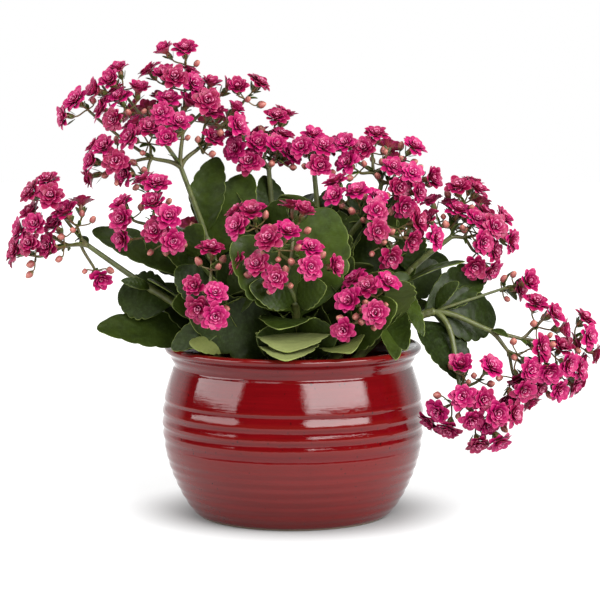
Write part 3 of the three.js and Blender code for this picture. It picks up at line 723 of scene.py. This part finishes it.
def leaves(feet, tips, widths, rolls, seed, v=leafValues):
    # fleshy blades: an oval ring carried from foot to tip along a bowed line, its half width a
    # sine of the way along, dented between round lobes, and its edges lifted and waved
    draw = np.random.default_rng(seed)
    count = len(feet)
    feet, tips = np.asarray(feet, float), np.asarray(tips, float)
    axis = unit(tips - feet)
    length = np.linalg.norm(tips - feet, axis=1)[:, None, None]
    level, face = squareTo(axis)
    tilt = np.radians(np.asarray(rolls, float))[:, None]
    normal = np.cos(tilt) * face + np.sin(tilt) * level
    lateral = np.cross(normal, axis)

    def number(low, high):
        return draw.uniform(low, high, (count, 1, 1))

    t = np.linspace(0.004, 0.996, v["stations"])[None, :, None]
    s = np.clip((t - v["petioleEnd"]) / (1 - v["petioleEnd"]), 0, 1)
    turn = np.pi * s
    blade = np.sin(turn) ** np.where(turn < np.pi / 2, 0.85, 0.55) + v["petiole"] * (1 - s) ** 3
    lobes = (1 - np.abs(np.sin(np.pi * (v["lobes"] * s + number(0, 1))))) ** 1.6
    blade = blade * (1 - v["lobeDepth"] * np.clip((s - 0.2) / 0.2, 0, 1) * lobes)
    half = np.asarray(widths, float)[:, None, None] / 2 * blade

    angle = (2 * np.pi * np.arange(v["around"]) / v["around"])[None, None, :]
    x, y = np.cos(angle), np.sin(angle)
    thick = v["thickness"] / 2 * (1.5 - 0.7 * t) * np.minimum(1, 0.35 + half / 5)
    groove = -0.45 * thick * np.exp(-((x / 0.16) ** 2)) * (y > 0)
    lift, wave = number(*v["lift"]), number(*v["wave"])
    phase = 2 * np.pi * (number(*v["waves"]) * t + number(0, 1)) + 1.2 * np.sign(x)
    lift = half * (lift * x**2 + wave * np.sin(phase) * np.abs(x) ** 3)
    sway = number(-v["sway"], v["sway"]) * length * np.sin(np.pi * t)
    bow = v["bow"] * length * 4 * t * (1 - t)
    alongAxis = np.broadcast_to(length * t, (count, v["stations"], v["around"]))
    rings = (
        feet[:, None, None]
        + alongAxis[..., None] * axis[:, None, None]
        + (half * x + sway)[..., None] * lateral[:, None, None]
        + (thick * y + groove + lift + bow)[..., None] * normal[:, None, None]
    )
    shape = rings.shape[:3]
    gap = np.minimum((1 - np.abs(x)) * half, (1 - t) * length)
    rim = np.exp(-gap / v["rimWidth"]) * np.clip((t - 0.12) / 0.15, 0, 1)
    vein = 0.5 + 0.5 * np.cos(2 * np.pi * (v["veins"] * t - 1.5 * np.abs(x)))
    tint = number(0, 1)
    # old leaves by the rim get the pale underside colour on both faces: partly their own tone, partly a
    # painted sheen on the upper face
    oldAndPaintedSheen = (np.abs(rolls) > v["oldAndSheenRoll"])[:, None, None]
    spread = lambda values: np.broadcast_to(values, shape)
    ends = np.zeros(count)
    tints = tint[:, 0, 0]
    return mark(
        skin(rings, rings[:, 0].mean(1) - 0.2 * axis, rings[:, -1].mean(1) + 0.2 * axis),
        across=(spread(np.abs(x)), ends, ends),
        under=(spread(np.maximum(1.0 * oldAndPaintedSheen, v["underneath"] * (y < -0.01))), ends, ends),
        rim=(spread(rim), ends, ends + 1),
        vein=(spread(vein), ends, ends),
        tint=(spread(tint), tints, tints),
    )


infillValues = {
    "nodes": (0.1, 0.3, 0.5, 0.7), "length": (74, 50), "width": (46, 34), "rise": (38, 62),
    "lengthSpread": (0.8, 1.05), "widthSpread": (0.85, 1.1), "seed": 40,
    "sway": 0.4, "riseSway": 10, "roll": 25,  # to either side, the first in radians
    "front": -50,  # stems whose neck is further forward keep their inner leaves behind them
}


def infill(points, number, bare, v=infillValues):
    # pairs of opposite leaves up a stem as far as it is bare, each pair a quarter turn on from the
    # last, rising more and growing shorter towards the top
    draw = np.random.default_rng(v["seed"] + number)
    nodes = [node for node in v["nodes"] if node < bare]
    share = np.repeat(nodes, 2) + np.tile([0, 0.02], len(nodes))
    k = np.arange(len(share))
    azimuth = draw.uniform(0, np.pi) + np.pi * k + np.pi / 2 * (k // 2)
    azimuth = azimuth + draw.uniform(-v["sway"], v["sway"], len(k))
    if points[-1, 1] < v["front"]:
        azimuth = np.where(np.sin(azimuth) < -0.1, -azimuth, azimuth)
    riseSway = draw.uniform(-v["riseSway"], v["riseSway"], len(k))
    rise = np.radians(np.interp(share, [0, 1], v["rise"]) + riseSway)
    length = np.interp(share, [0, 1], v["length"]) * draw.uniform(*v["lengthSpread"], len(k))
    level = np.cos(rise)
    heading = np.stack([np.cos(azimuth) * level, np.sin(azimuth) * level, np.sin(rise)], -1)
    feet = throughPoints(points, share)
    tips = feet + length[:, None] * heading
    width = np.interp(share, [0, 1], v["width"]) * draw.uniform(*v["widthSpread"], len(k))
    return feet, tips, width, draw.uniform(-v["roll"], v["roll"], len(k))


leafGreen, stalkGreen = leafFinish(), stalkFinish()
stemValues = {
    "footRadius": 3.6, "neckRadius": 2.6, "knuckle": 0.5, "around": 14, "soilDepth": 74, "soilTop": 114,
}


def stemPoints(stem):
    return np.array([(*stem["path"][0], stemValues["soilTop"]), *stem["path"][1:]], float)


def makeStem(name, stem, seed, v=stemValues):
    # a tube from under the soil up the stem's curve, swollen where a leaf sets on, and its leaves
    points = stemPoints(stem)
    t = np.linspace(0, 1, 40)
    below = points[0] - [[0, 0, v["soilTop"] - v["soilDepth"]], [0, 0, 14]]
    line = np.concatenate([below, throughPoints(points, t)])
    shares = np.array([leaf[0] for leaf in stem["leaves"]])
    knuckles = np.exp(-(((t[:, None] - shares) / 0.022) ** 2)).sum(1)
    radii = v["footRadius"] + (v["neckRadius"] - v["footRadius"]) * t + v["knuckle"] * knuckles
    radii = np.concatenate([[v["footRadius"]] * 2, radii])
    radii[-1] *= 0.6
    part = tubes(line[None], radii[None], v["around"], 0.12)
    makePiece(f"trunk_{name[5:]}", [part], stalkGreen, [name])
    blades = np.array(stem["leaves"], float)
    feet = throughPoints(points, blades[:, 0])
    part = leaves(feet, blades[:, 1:4], blades[:, 4], blades[:, 5], seed)
    more = leaves(*infill(points, seed, stem.get("bare", 1)), seed + 50)
    makePiece(f"leaves_{name[5:]}", [part, more], leafGreen, [name])


for number, (name, stem) in enumerate(stems.items()):
    makeStem(name, stem, 100 + number)
print("stems and leaves: grown")

# ---- flower sprays: the stem where it isn't the one of the same name, the hub where the stalk
# branches, and clusters as (x, y, z of the middle, open florets, buds)
sprays = {
    "spray_upper_left": {
        "hub": (-83, 0, 259),
        "clusters": (
            (-79, 6, 345, 2, 1), (-91, 2, 328, 4, 2), (-131, 0, 325, 3, 1), (-160, 6, 309, 2, 1),
            (-128, -10, 308, 4, 1), (-96, -8, 306, 3, 2), (-111, -20, 284, 3, 1), (-142, -12, 266, 4, 2),
            (-90, -22, 289, 2, 1), (-60, -4, 317, 3, 1), (-30, 4, 318, 2, 2), (-46, -4, 297, 3, 1),
            (-60, -10, 278, 1, 1), (-118, -16, 255, 1, 2), (-104, 28, 300, 4, 2), (-62, 26, 300, 3, 1),
        ),
    },
    "spray_far_left": {
        "hub": (-150, -24, 203),
        "clusters": (
            (-183, -20, 246, 3, 1), (-162, -28, 226, 2, 3), (-194, -18, 221, 3, 1), (-200, -20, 196, 3, 1),
            (-177, -26, 206, 2, 2), (-143, -34, 179, 1, 2),
        ),
    },
    "spray_left": {
        "hub": (-94, -30, 214),
        "clusters": (
            (-103, -40, 245, 2, 1), (-89, -50, 228, 2, 1), (-125, -36, 229, 2, 1), (-119, -40, 211, 1, 0),
            (-91, -52, 208, 2, 2),
        ),
    },
    "spray_front_left": {
        "hub": (-60, -72, 172),
        "clusters": (
            (-58, -76, 200, 1, 2), (-63, -90, 177, 2, 1), (-54, -94, 161, 2, 1),
        ),
    },
    "spray_front": {
        "hub": (-5, -74, 182),
        "clusters": (
            (-31, -66, 229, 3, 2), (2, -72, 230, 2, 1), (16, -88, 203, 3, 2), (-28, -90, 195, 2, 2),
            (-11, -96, 213, 2, 2), (-9, -98, 183, 1, 2),
        ),
    },
    "spray_top_left": {
        "hub": (-18, 16, 256),
        "clusters": (
            (-36, 8, 282, 3, 1), (-35, 0, 262, 1, 1), (-15, 12, 292, 2, 1), (-9, 2, 272, 3, 1),
            (-16, 28, 276, 3, 1),
        ),
    },
    "spray_top_centre": {
        "hub": (16, 14, 254),
        "clusters": (
            (10, 8, 277, 2, 1), (22, -2, 264, 2, 1), (18, 20, 272, 2, 1),
        ),
    },
    "spray_top_right": {
        "hub": (66, 10, 246),
        "clusters": (
            (38, 8, 276, 2, 1), (57, 6, 279, 2, 1), (85, 6, 272, 1, 2), (74, -6, 252, 2, 3),
            (99, 2, 254, 2, 1), (44, -4, 262, 1, 1), (80, -10, 238, 2, 1), (68, 26, 268, 2, 1),
        ),
    },
    "spray_centre_right": {
        "hub": (50, -32, 222),
        "clusters": (
            (31, -26, 243, 2, 1), (51, -36, 238, 3, 2), (63, -46, 218, 1, 2), (85, -44, 218, 2, 0),
            (102, -40, 207, 1, 0), (70, -52, 202, 1, 3),
        ),
    },
    "spray_right": {
        "hub": (117, -8, 208),
        "clusters": (
            (130, -4, 242, 3, 1), (118, -8, 225, 3, 2), (137, -14, 219, 3, 1), (153, -8, 217, 3, 1),
            (145, -14, 196, 3, 1), (104, -4, 228, 1, 1), (138, 18, 220, 2, 1),
        ),
    },
    "spray_right_small": {
        "stem": "stem_far_right", "hub": (155, -28, 172), "slim": 0.55,
        "clusters": (
            (163, -30, 171, 1, 1), (169, -34, 180, 1, 1),
        ),
    },
    "spray_far_right": {
        "hub": (144, -36, 142),
        "clusters": (
            (187, -42, 148, 3, 2), (216, -38, 136, 3, 1), (196, -46, 127, 3, 1), (204, -40, 110, 4, 1),
            (171, -50, 122, 3, 1), (168, -50, 102, 4, 1), (194, -42, 101, 1, 1),
        ),
    },
    "spray_lower_right": {
        "stem": "stem_far_right", "hub": (122, -52, 102),
        "clusters": (
            (125, -60, 119, 1, 2), (141, -62, 113, 1, 2), (111, -62, 86, 3, 2), (132, -66, 90, 3, 1),
            (153, -60, 81, 3, 1), (139, -58, 69, 3, 1),
        ),
    },
    "spray_front_right": {
        "hub": (58, -76, 160),
        "clusters": (
            (60, -82, 180, 3, 1), (45, -92, 169, 1, 2), (37, -97, 154, 1, 1), (56, -94, 158, 1, 1),
        ),
    },
    "spray_back_left": {
        "hub": (-66, 78, 190),
        "clusters": (
            (-80, 90, 204, 3, 1), (-62, 94, 210, 3, 2), (-44, 86, 208, 3, 2),
        ),
    },
    "spray_back": {
        "hub": (5, 92, 182),
        "clusters": (
            (-6, 104, 200, 4, 2), (16, 104, 202, 4, 2),
        ),
    },
    "spray_back_right": {
        "hub": (72, 76, 190),
        "clusters": (
            (86, 88, 204, 3, 1), (68, 92, 210, 3, 2), (50, 84, 210, 3, 2),
        ),
    },
}

clusterValues = {
    "crowd": 1.15,  # florets for each one counted in the photograph, most of them further back
    "budCrowd": 1.7,
    "spacing": 6.8,  # of the sunflower spiral
    "dome": 0.022,  # fall of the surface per millimetre from the middle, squared
    "floretRoom": 7.2, "budRoom": 3.2, "budDrop": 5.5, "stalkLength": 13, "rounds": 50, "push": 0.3,
    "lean": {"front": -0.65, "back": 0.5, "up": 0.3},  # of a cluster's facing towards the viewer
    "backFrom": 15,
    "aloneReach": 6.0,  # of the spiral of a cluster with one floret
    "unevenness": 3,
    "sizes": {"floret": (0.92, 1.07), "bud": (0.75, 1.05)},
    "openShare": 0.72, "open": (0.86, 1.05), "halfOpen": (0.4, 0.8),
}


def spreadCluster(spray, cluster, draw, v=clusterValues):
    # blooms along a sunflower spiral over a shallow dome that faces away from the hub
    middle, buds = np.array(cluster[:3], float), int(round(cluster[4] * v["budCrowd"]))
    florets = int(round(cluster[3] * v["crowd"]))
    hub = np.array(spray["hub"], float)
    side = "front" if middle[1] < v["backFrom"] else "back"
    facing = unit(unit(middle - hub) + [0, v["lean"][side], v["lean"]["up"]])
    level, second = squareTo(facing)
    count = florets + buds
    isBud = np.zeros(count, bool)
    isBud[draw.permutation(np.arange(1, count))[:buds]] = True
    i = np.arange(count)
    reach = (v["aloneReach"] if florets == 1 else v["spacing"]) * np.sqrt(i + 0.4)
    angle = draw.uniform(0, 2 * np.pi) + i * np.pi * (3 - 5**0.5)
    drop = v["dome"] * reach**2 + v["budDrop"] * isBud - v["unevenness"] * draw.random(count)
    place = (
        middle
        + (reach * np.cos(angle))[:, None] * level
        + (reach * np.sin(angle))[:, None] * second
        - drop[:, None] * facing
    )
    (small, large), (smallBud, largeBud) = v["sizes"]["floret"], v["sizes"]["bud"]
    size = draw.random(count)
    size = np.where(isBud, smallBud + (largeBud - smallBud) * size, small + (large - small) * size)
    turn = draw.uniform(0, 2 * np.pi, count)
    isOpen = draw.random(count) < v["openShare"]
    openness = draw.uniform(*v["open"], count), draw.uniform(*v["halfOpen"], count)
    return {
        "facing": facing,
        "knot": middle - v["stalkLength"] * facing,
        "centre": middle - 1.7 * v["stalkLength"] * facing,
        "place": place,
        "isBud": isBud,
        "size": size,
        "turn": turn,
        "open": np.where(isOpen, *openness),
        "tint": draw.random(count),
    }


def layOut(v=clusterValues):
    # all clusters of all sprays, after blooms that crowd each other have moved apart
    spread = {}
    for number, (name, spray) in enumerate(sprays.items()):
        draw = np.random.default_rng(500 + number)
        spread[name] = [spreadCluster(spray, cluster, draw) for cluster in spray["clusters"]]
    clusters = [cluster for several in spread.values() for cluster in several]
    places = np.concatenate([c["place"] for c in clusters])
    rooms = np.concatenate([np.where(c["isBud"], v["budRoom"], v["floretRoom"]) for c in clusters])
    for _ in range(v["rounds"]):
        apart = places[:, None] - places[None]
        distance = np.linalg.norm(apart, axis=-1) + np.eye(len(places)) * 1e3
        lacking = np.maximum(rooms[:, None] + rooms[None] - distance, 0)
        places = places + np.sum(v["push"] * (lacking / distance)[..., None] * apart, 1)
    starts = np.cumsum([0] + [len(c["place"]) for c in clusters])
    for cluster, start, end in zip(clusters, starts, starts[1:]):
        cluster["place"] = places[start:end]
    return spread


petalRing = np.array([(1, 0), (0.5, 1), (-0.5, 1), (-1, 0), (-0.5, -1), (0.5, -1)], float)
floretValues = {
    # petals, length, half width, lean at the foot and at the tip, foot radius, foot height
    "layers": (
        (8, 9.8, 3.2, 46, -16, 1.7, -0.4),
        (8, 8.8, 2.9, 58, 4, 1.4, 0.0),
        (7, 7.4, 2.5, 68, 26, 1.0, 0.3),
        (5, 6.0, 2.1, 80, 48, 0.7, 0.5),
        (3, 4.8, 1.5, 88, 70, 0.4, 0.7),
    ),
    "sepals": (4, 7.4, 1.7, 56, 62, 1.4, -6.8),
    "stations": (0.1, 0.34, 0.62, 0.84, 0.96),
    "thickness": 0.17, "tube": 7.2, "cup": 0.2,
    "shut": (30, 70),  # degrees by which a closed floret's petals rise at the foot and at the tip
    # how far single petals differ, to either side
    "jitter": {"azimuth": 0.28, "size": 0.13, "foot": 8, "tip": 16, "roll": 0.2, "cup": 0.16, "tint": 0.25},
}
budValues = {"length": 7.8, "radius": 2.75, "sepals": (4, 3.4, 1.0, 60, 80, 0.8, -4.2)}


def petals(hearts, faces, turns, sizes, opens, tints, layer, draw, rosy=0.0, v=floretValues):
    # one layer of petals on every floret: each is a thin closed blade whose lean above the
    # floret's plane falls evenly from foot to tip, so that its middle line is an arc of a circle
    petalCount, length, halfWidth, leanFoot, leanTip, footRadius, footHeight = layer
    shape = (len(hearts), petalCount)

    def jitter(what):
        return draw.uniform(-v["jitter"][what], v["jitter"][what], shape)

    level, second = squareTo(faces)
    azimuth = turns[:, None] + 2 * np.pi * (np.arange(petalCount) + jitter("azimuth")) / petalCount
    c, s = np.cos(azimuth)[..., None], np.sin(azimuth)[..., None]
    outward = c * level[:, None] + s * second[:, None]
    lateral = -s * level[:, None] + c * second[:, None]
    face = np.broadcast_to(faces[:, None], outward.shape)
    size = sizes[:, None] * (1 + jitter("size"))
    shut = np.clip(1 - opens, 0, 1)[:, None]
    foot = np.radians(leanFoot + v["shut"][0] * shut + jitter("foot"))
    tip = np.radians(leanTip + v["shut"][1] * shut + jitter("tip"))
    u = np.array(v["stations"])[None, None]

    def arc(share):
        # the lean at that share of the way, and how far out and up the arc is there
        lean, first = foot[..., None] + (tip - foot)[..., None] * share, foot[..., None]
        swing = (tip - foot)[..., None] + 1e-6
        out = footRadius + length * (np.sin(lean) - np.sin(first)) / swing
        high = footHeight + length * (np.cos(first) - np.cos(lean)) / swing
        return lean, size[..., None] * out, size[..., None] * high

    lean, reach, rise = arc(u)
    half = halfWidth * size[..., None] * np.sin(np.pi * u**1.42) ** 0.72
    roll = jitter("roll")[..., None, None]
    cup = (v["cup"] + jitter("cup"))[..., None]
    x, y = petalRing[:, 0], petalRing[:, 1]
    side = half[..., None] * x
    up = (half * cup)[..., None] * x**2 + v["thickness"] * y
    side, up = side * np.cos(roll) - up * np.sin(roll), side * np.sin(roll) + up * np.cos(roll)
    sinLean, cosLean = np.sin(lean)[..., None], np.cos(lean)[..., None]
    along = lambda values, vectors: values[..., None] * vectors[:, :, None, None]
    rings = (
        hearts[:, None, None, None]
        + along(reach[..., None] - up * sinLean, outward)
        + along(rise[..., None] + up * cosLean, face)
        + along(side, lateral)
    )

    def spine(share):
        _, out, high = arc(share)
        return (hearts[:, None] + out * outward + high * face).reshape(-1, 3)

    count = shape[0] * petalCount
    stations = len(v["stations"])
    rings = rings.reshape(count, stations, 6, 3)
    grid = rings.shape[:3]
    spread = lambda values: np.broadcast_to(values, grid)
    petalTint = np.clip(tints[:, None] + jitter("tint"), 0, 1).reshape(count, 1, 1)
    tinted = petalTint[:, 0, 0]
    ends = np.zeros(count)
    return mark(
        skin(rings, spine(0.0), spine(1.0)),
        along=(spread(u.reshape(1, stations, 1)), ends, ends + 1),
        across=(spread(np.abs(x)[None, None]), ends, ends),
        under=(spread((y < 0)[None, None] * 1.0), ends, ends),
        tint=(spread(petalTint), tinted, tinted),
        # the layer's share from outermost to inmost, which the petal material reads for a painted highlight
        # on the inmost tips
        rosy=(spread(np.array(rosy)), ends + rosy, ends + rosy),
    )


def buds(places, faces, sizes, tints, v=budValues):
    # closed buds: rings of eight points, alternately in and out for the four folded petals
    u = np.array([0.03, 0.16, 0.36, 0.56, 0.76, 0.92])[None, :, None]
    angle = (2 * np.pi * np.arange(8) / 8)[None, None]
    radius = v["radius"] * np.sin(np.pi * u**0.82) ** 0.62 * (1 + 0.07 * np.cos(4 * angle))
    level, second = squareTo(faces)
    size = sizes[:, None, None]
    height = (v["length"] * (u - 0.5) * size)[..., None]
    rings = (
        places[:, None, None]
        + height * faces[:, None, None]
        + (radius * size * np.cos(angle))[..., None] * level[:, None, None]
        - (radius * size * np.sin(angle))[..., None] * second[:, None, None]
    )
    grid = rings.shape[:3]
    ends = np.zeros(len(places))
    reach = (v["length"] / 2 * sizes)[:, None] * faces
    return mark(
        skin(rings, places - reach, places + reach),
        along=(np.broadcast_to(u, grid), ends, ends + 1),
        tint=(np.broadcast_to(tints[:, None, None], grid), tints, tints),
    )


petalPink, budSalmon = petalFinish(), budFinish()
bractValues = {
    **leafValues, "stations": 16, "around": 10, "length": 11, "width": 4.2, "thickness": 1.0,
    "lobeDepth": 0.0, "bow": 0.12, "atHub": (1.5, 1.3), "sizes": (0.5, 1.0), "turn": 0.9, "roll": 40,
}
stalkValues = {
    # radii of the peduncle at its foot and at the hub, of a branch at its start and at its knot
    "foot": 2.3, "hub": 1.8, "branch": 1.3, "knot": 1.05, "pedicel": 0.66, "around": 10,
    "onLimb": 4,  # branches that leave the hub as one limb
    "forkAt": 0.5,  # the share of the way to their knots where they part
    "tube": (0.9, 2.0, 2.15, 1.8, 1.7),  # radii from a floret's calyx up to its heart
    "flush": {"peduncle": 0.1, "limb": 0.2, "branch": 0.25, "pedicel": 0.5, "tube": 0.85},
}


def growStalk(stem, hub, knots, facings, slim, v=stalkValues):
    # the peduncle from the stem's neck to the hub, and a branch to each knot; neighbouring
    # branches leave the hub as one limb, and part from it on the way
    stemLine, flush = stemPoints(stem), v["flush"]
    neck = stemLine[-1]
    heading = unit(neck - throughPoints(stemLine, [0.96])[0])
    reach = np.linalg.norm(hub - neck)
    arrive = unit(hub - neck)
    main = bezier([neck - 1.5 * heading], [neck + 0.3 * reach * unit(heading + arrive)],
                  [hub - 0.3 * reach * arrive], [hub], 16)
    radii = slim * np.linspace(v["foot"], v["hub"], 16)[None]
    green = [tubes(main, radii, v["around"], flush["peduncle"])]
    order = np.argsort(np.arctan2(knots[:, 0] - hub[0], knots[:, 2] - hub[2]))
    forks = np.tile(hub, (len(knots), 1))
    for limb in np.array_split(order, -(-len(knots) // v["onLimb"])):
        if len(limb) > 1 and len(knots) > v["onLimb"]:
            fork = hub + v["forkAt"] * (knots[limb].mean(0) - hub)
            forks[limb] = fork
            pull = 0.4 * np.linalg.norm(fork - hub) * unit(arrive + unit(fork - hub))
            line = bezier([hub], [hub + pull], [hub + 0.7 * (fork - hub)], [fork], 8)
            green.append(tubes(line, np.linspace(v["hub"], v["branch"], 8)[None], 8, flush["limb"]))
    far = np.linalg.norm(knots - forks, axis=1)[:, None]
    begin = unit(unit(forks - hub + 1e-3 * arrive) + unit(knots - forks))
    branches = bezier(forks, forks + 0.3 * far * begin, knots - 0.3 * far * facings, knots, 12)
    green.append(tubes(branches, np.linspace(v["branch"], v["knot"], 12)[None], 8, flush["branch"]))
    return green, arrive, forks, begin


def growBracts(hub, arrive, forks, begin, knots, facings, draw, seed, v=bractValues):
    # small leaves where the stalk branches and at the end of each branch
    sites = np.concatenate([[hub, hub], forks, knots, knots])
    out = np.concatenate([[arrive, arrive], begin, facings, facings])
    out = unit(out + draw.uniform(-v["turn"], v["turn"], out.shape))
    size = np.concatenate([v["atHub"], draw.uniform(*v["sizes"], 3 * len(knots))])
    tips = sites + (v["length"] * size)[:, None] * out
    rolls = draw.uniform(-v["roll"], v["roll"], len(sites))
    return leaves(sites, tips, v["width"] * size, rolls, seed, v)


def growPedicels(clusters, every, v=stalkValues):
    # a thin stalk from its cluster's knot to the foot of each floret or bud, and which way each
    # bloom faces
    repeat = [len(c["place"]) for c in clusters]
    centres, knots, facings = (
        np.repeat(np.array([c[key] for c in clusters]), repeat, axis=0)
        for key in ("centre", "knot", "facing")
    )
    faces = unit(every["place"] - centres)
    depth = np.where(every["isBud"], budValues["length"] / 2, floretValues["tube"]) * every["size"]
    calyx = every["place"] - depth[:, None] * faces
    length = np.linalg.norm(calyx - knots, axis=1)[:, None]
    lines = bezier(knots, knots + 0.35 * length * facings, calyx - 0.4 * length * faces,
                   calyx + 0.3 * faces, 7)
    radii = v["pedicel"] * np.where(every["isBud"], 0.85, 1.0)[:, None] * np.linspace(1.1, 1.0, 7)
    return tubes(lines, radii, 6, v["flush"]["pedicel"]), calyx, faces


def growTubes(feet, hearts, faces, sizes, v=stalkValues):
    # the swollen calyx and flower tube of each floret, up into its heart
    share = np.linspace(0, 1, len(v["tube"]))[None, :, None]
    lines = feet[:, None] + share * (hearts[:, None] + 0.8 * faces[:, None] - feet[:, None])
    return tubes(lines, sizes[:, None] * np.array([v["tube"]]), 8, v["flush"]["tube"])


def makeSpray(name, spray, clusters, seed):
    # a spray's four pieces: bracts, buds, stalks with the sepals, and petals
    draw = np.random.default_rng(seed)
    hub = np.array(spray["hub"], float)
    knots, facings = (np.array([c[key] for c in clusters]) for key in ("knot", "facing"))
    stem = stems[spray.get("stem", name.replace("spray", "stem"))]
    green, arrive, forks, begin = growStalk(stem, hub, knots, facings, spray.get("slim", 1.0))
    bracts = growBracts(hub, arrive, forks, begin, knots, facings, draw, seed)
    makePiece(f"bracts_{name[6:]}", [bracts], leafGreen, [name])

    keys = ("place", "isBud", "size", "turn", "open", "tint")
    every = {key: np.concatenate([c[key] for c in clusters]) for key in keys}
    pedicels, calyx, faces = growPedicels(clusters, every)
    green.append(pedicels)
    isBud = every["isBud"]
    hearts, sizes, turns, opens, tints = (
        every[key][~isBud] for key in ("place", "size", "turn", "open", "tint")
    )
    floretFaces = faces[~isBud]
    green.append(growTubes(calyx[~isBud], hearts, floretFaces, sizes))
    green.append(petals(hearts, floretFaces, turns + 0.4, sizes, np.ones(len(sizes)), tints,
                        floretValues["sepals"], draw, 0.1))
    if isBud.any():
        place, size, turn, tint = (every[key][isBud] for key in ("place", "size", "turn", "tint"))
        green.append(petals(place, faces[isBud], turn, size, np.ones(len(size)), tint,
                            budValues["sepals"], draw, 0.3))
        budPart = buds(place, faces[isBud], size, tint)
        makePiece(f"buds_{name[6:]}", [budPart], budSalmon, [name])
    makePiece(f"stalks_{name[6:]}", green, stalkGreen, [name], 80)
    # each layer passes its share from the outermost to the inmost, for the painted highlight on the inmost
    # petals' tips
    layers = [
        petals(hearts, floretFaces, turns + 0.37 * number, sizes, opens, tints, layer, draw,
               number / (len(floretValues["layers"]) - 1))
        for number, layer in enumerate(floretValues["layers"])
    ]
    makePiece(f"petals_{name[6:]}", layers, petalPink, [name], 80)


layout = layOut()
for number, (name, spray) in enumerate(sprays.items()):
    makeSpray(name, spray, layout[name], 900 + number)
print("sprays: florets, buds and stalks grown")
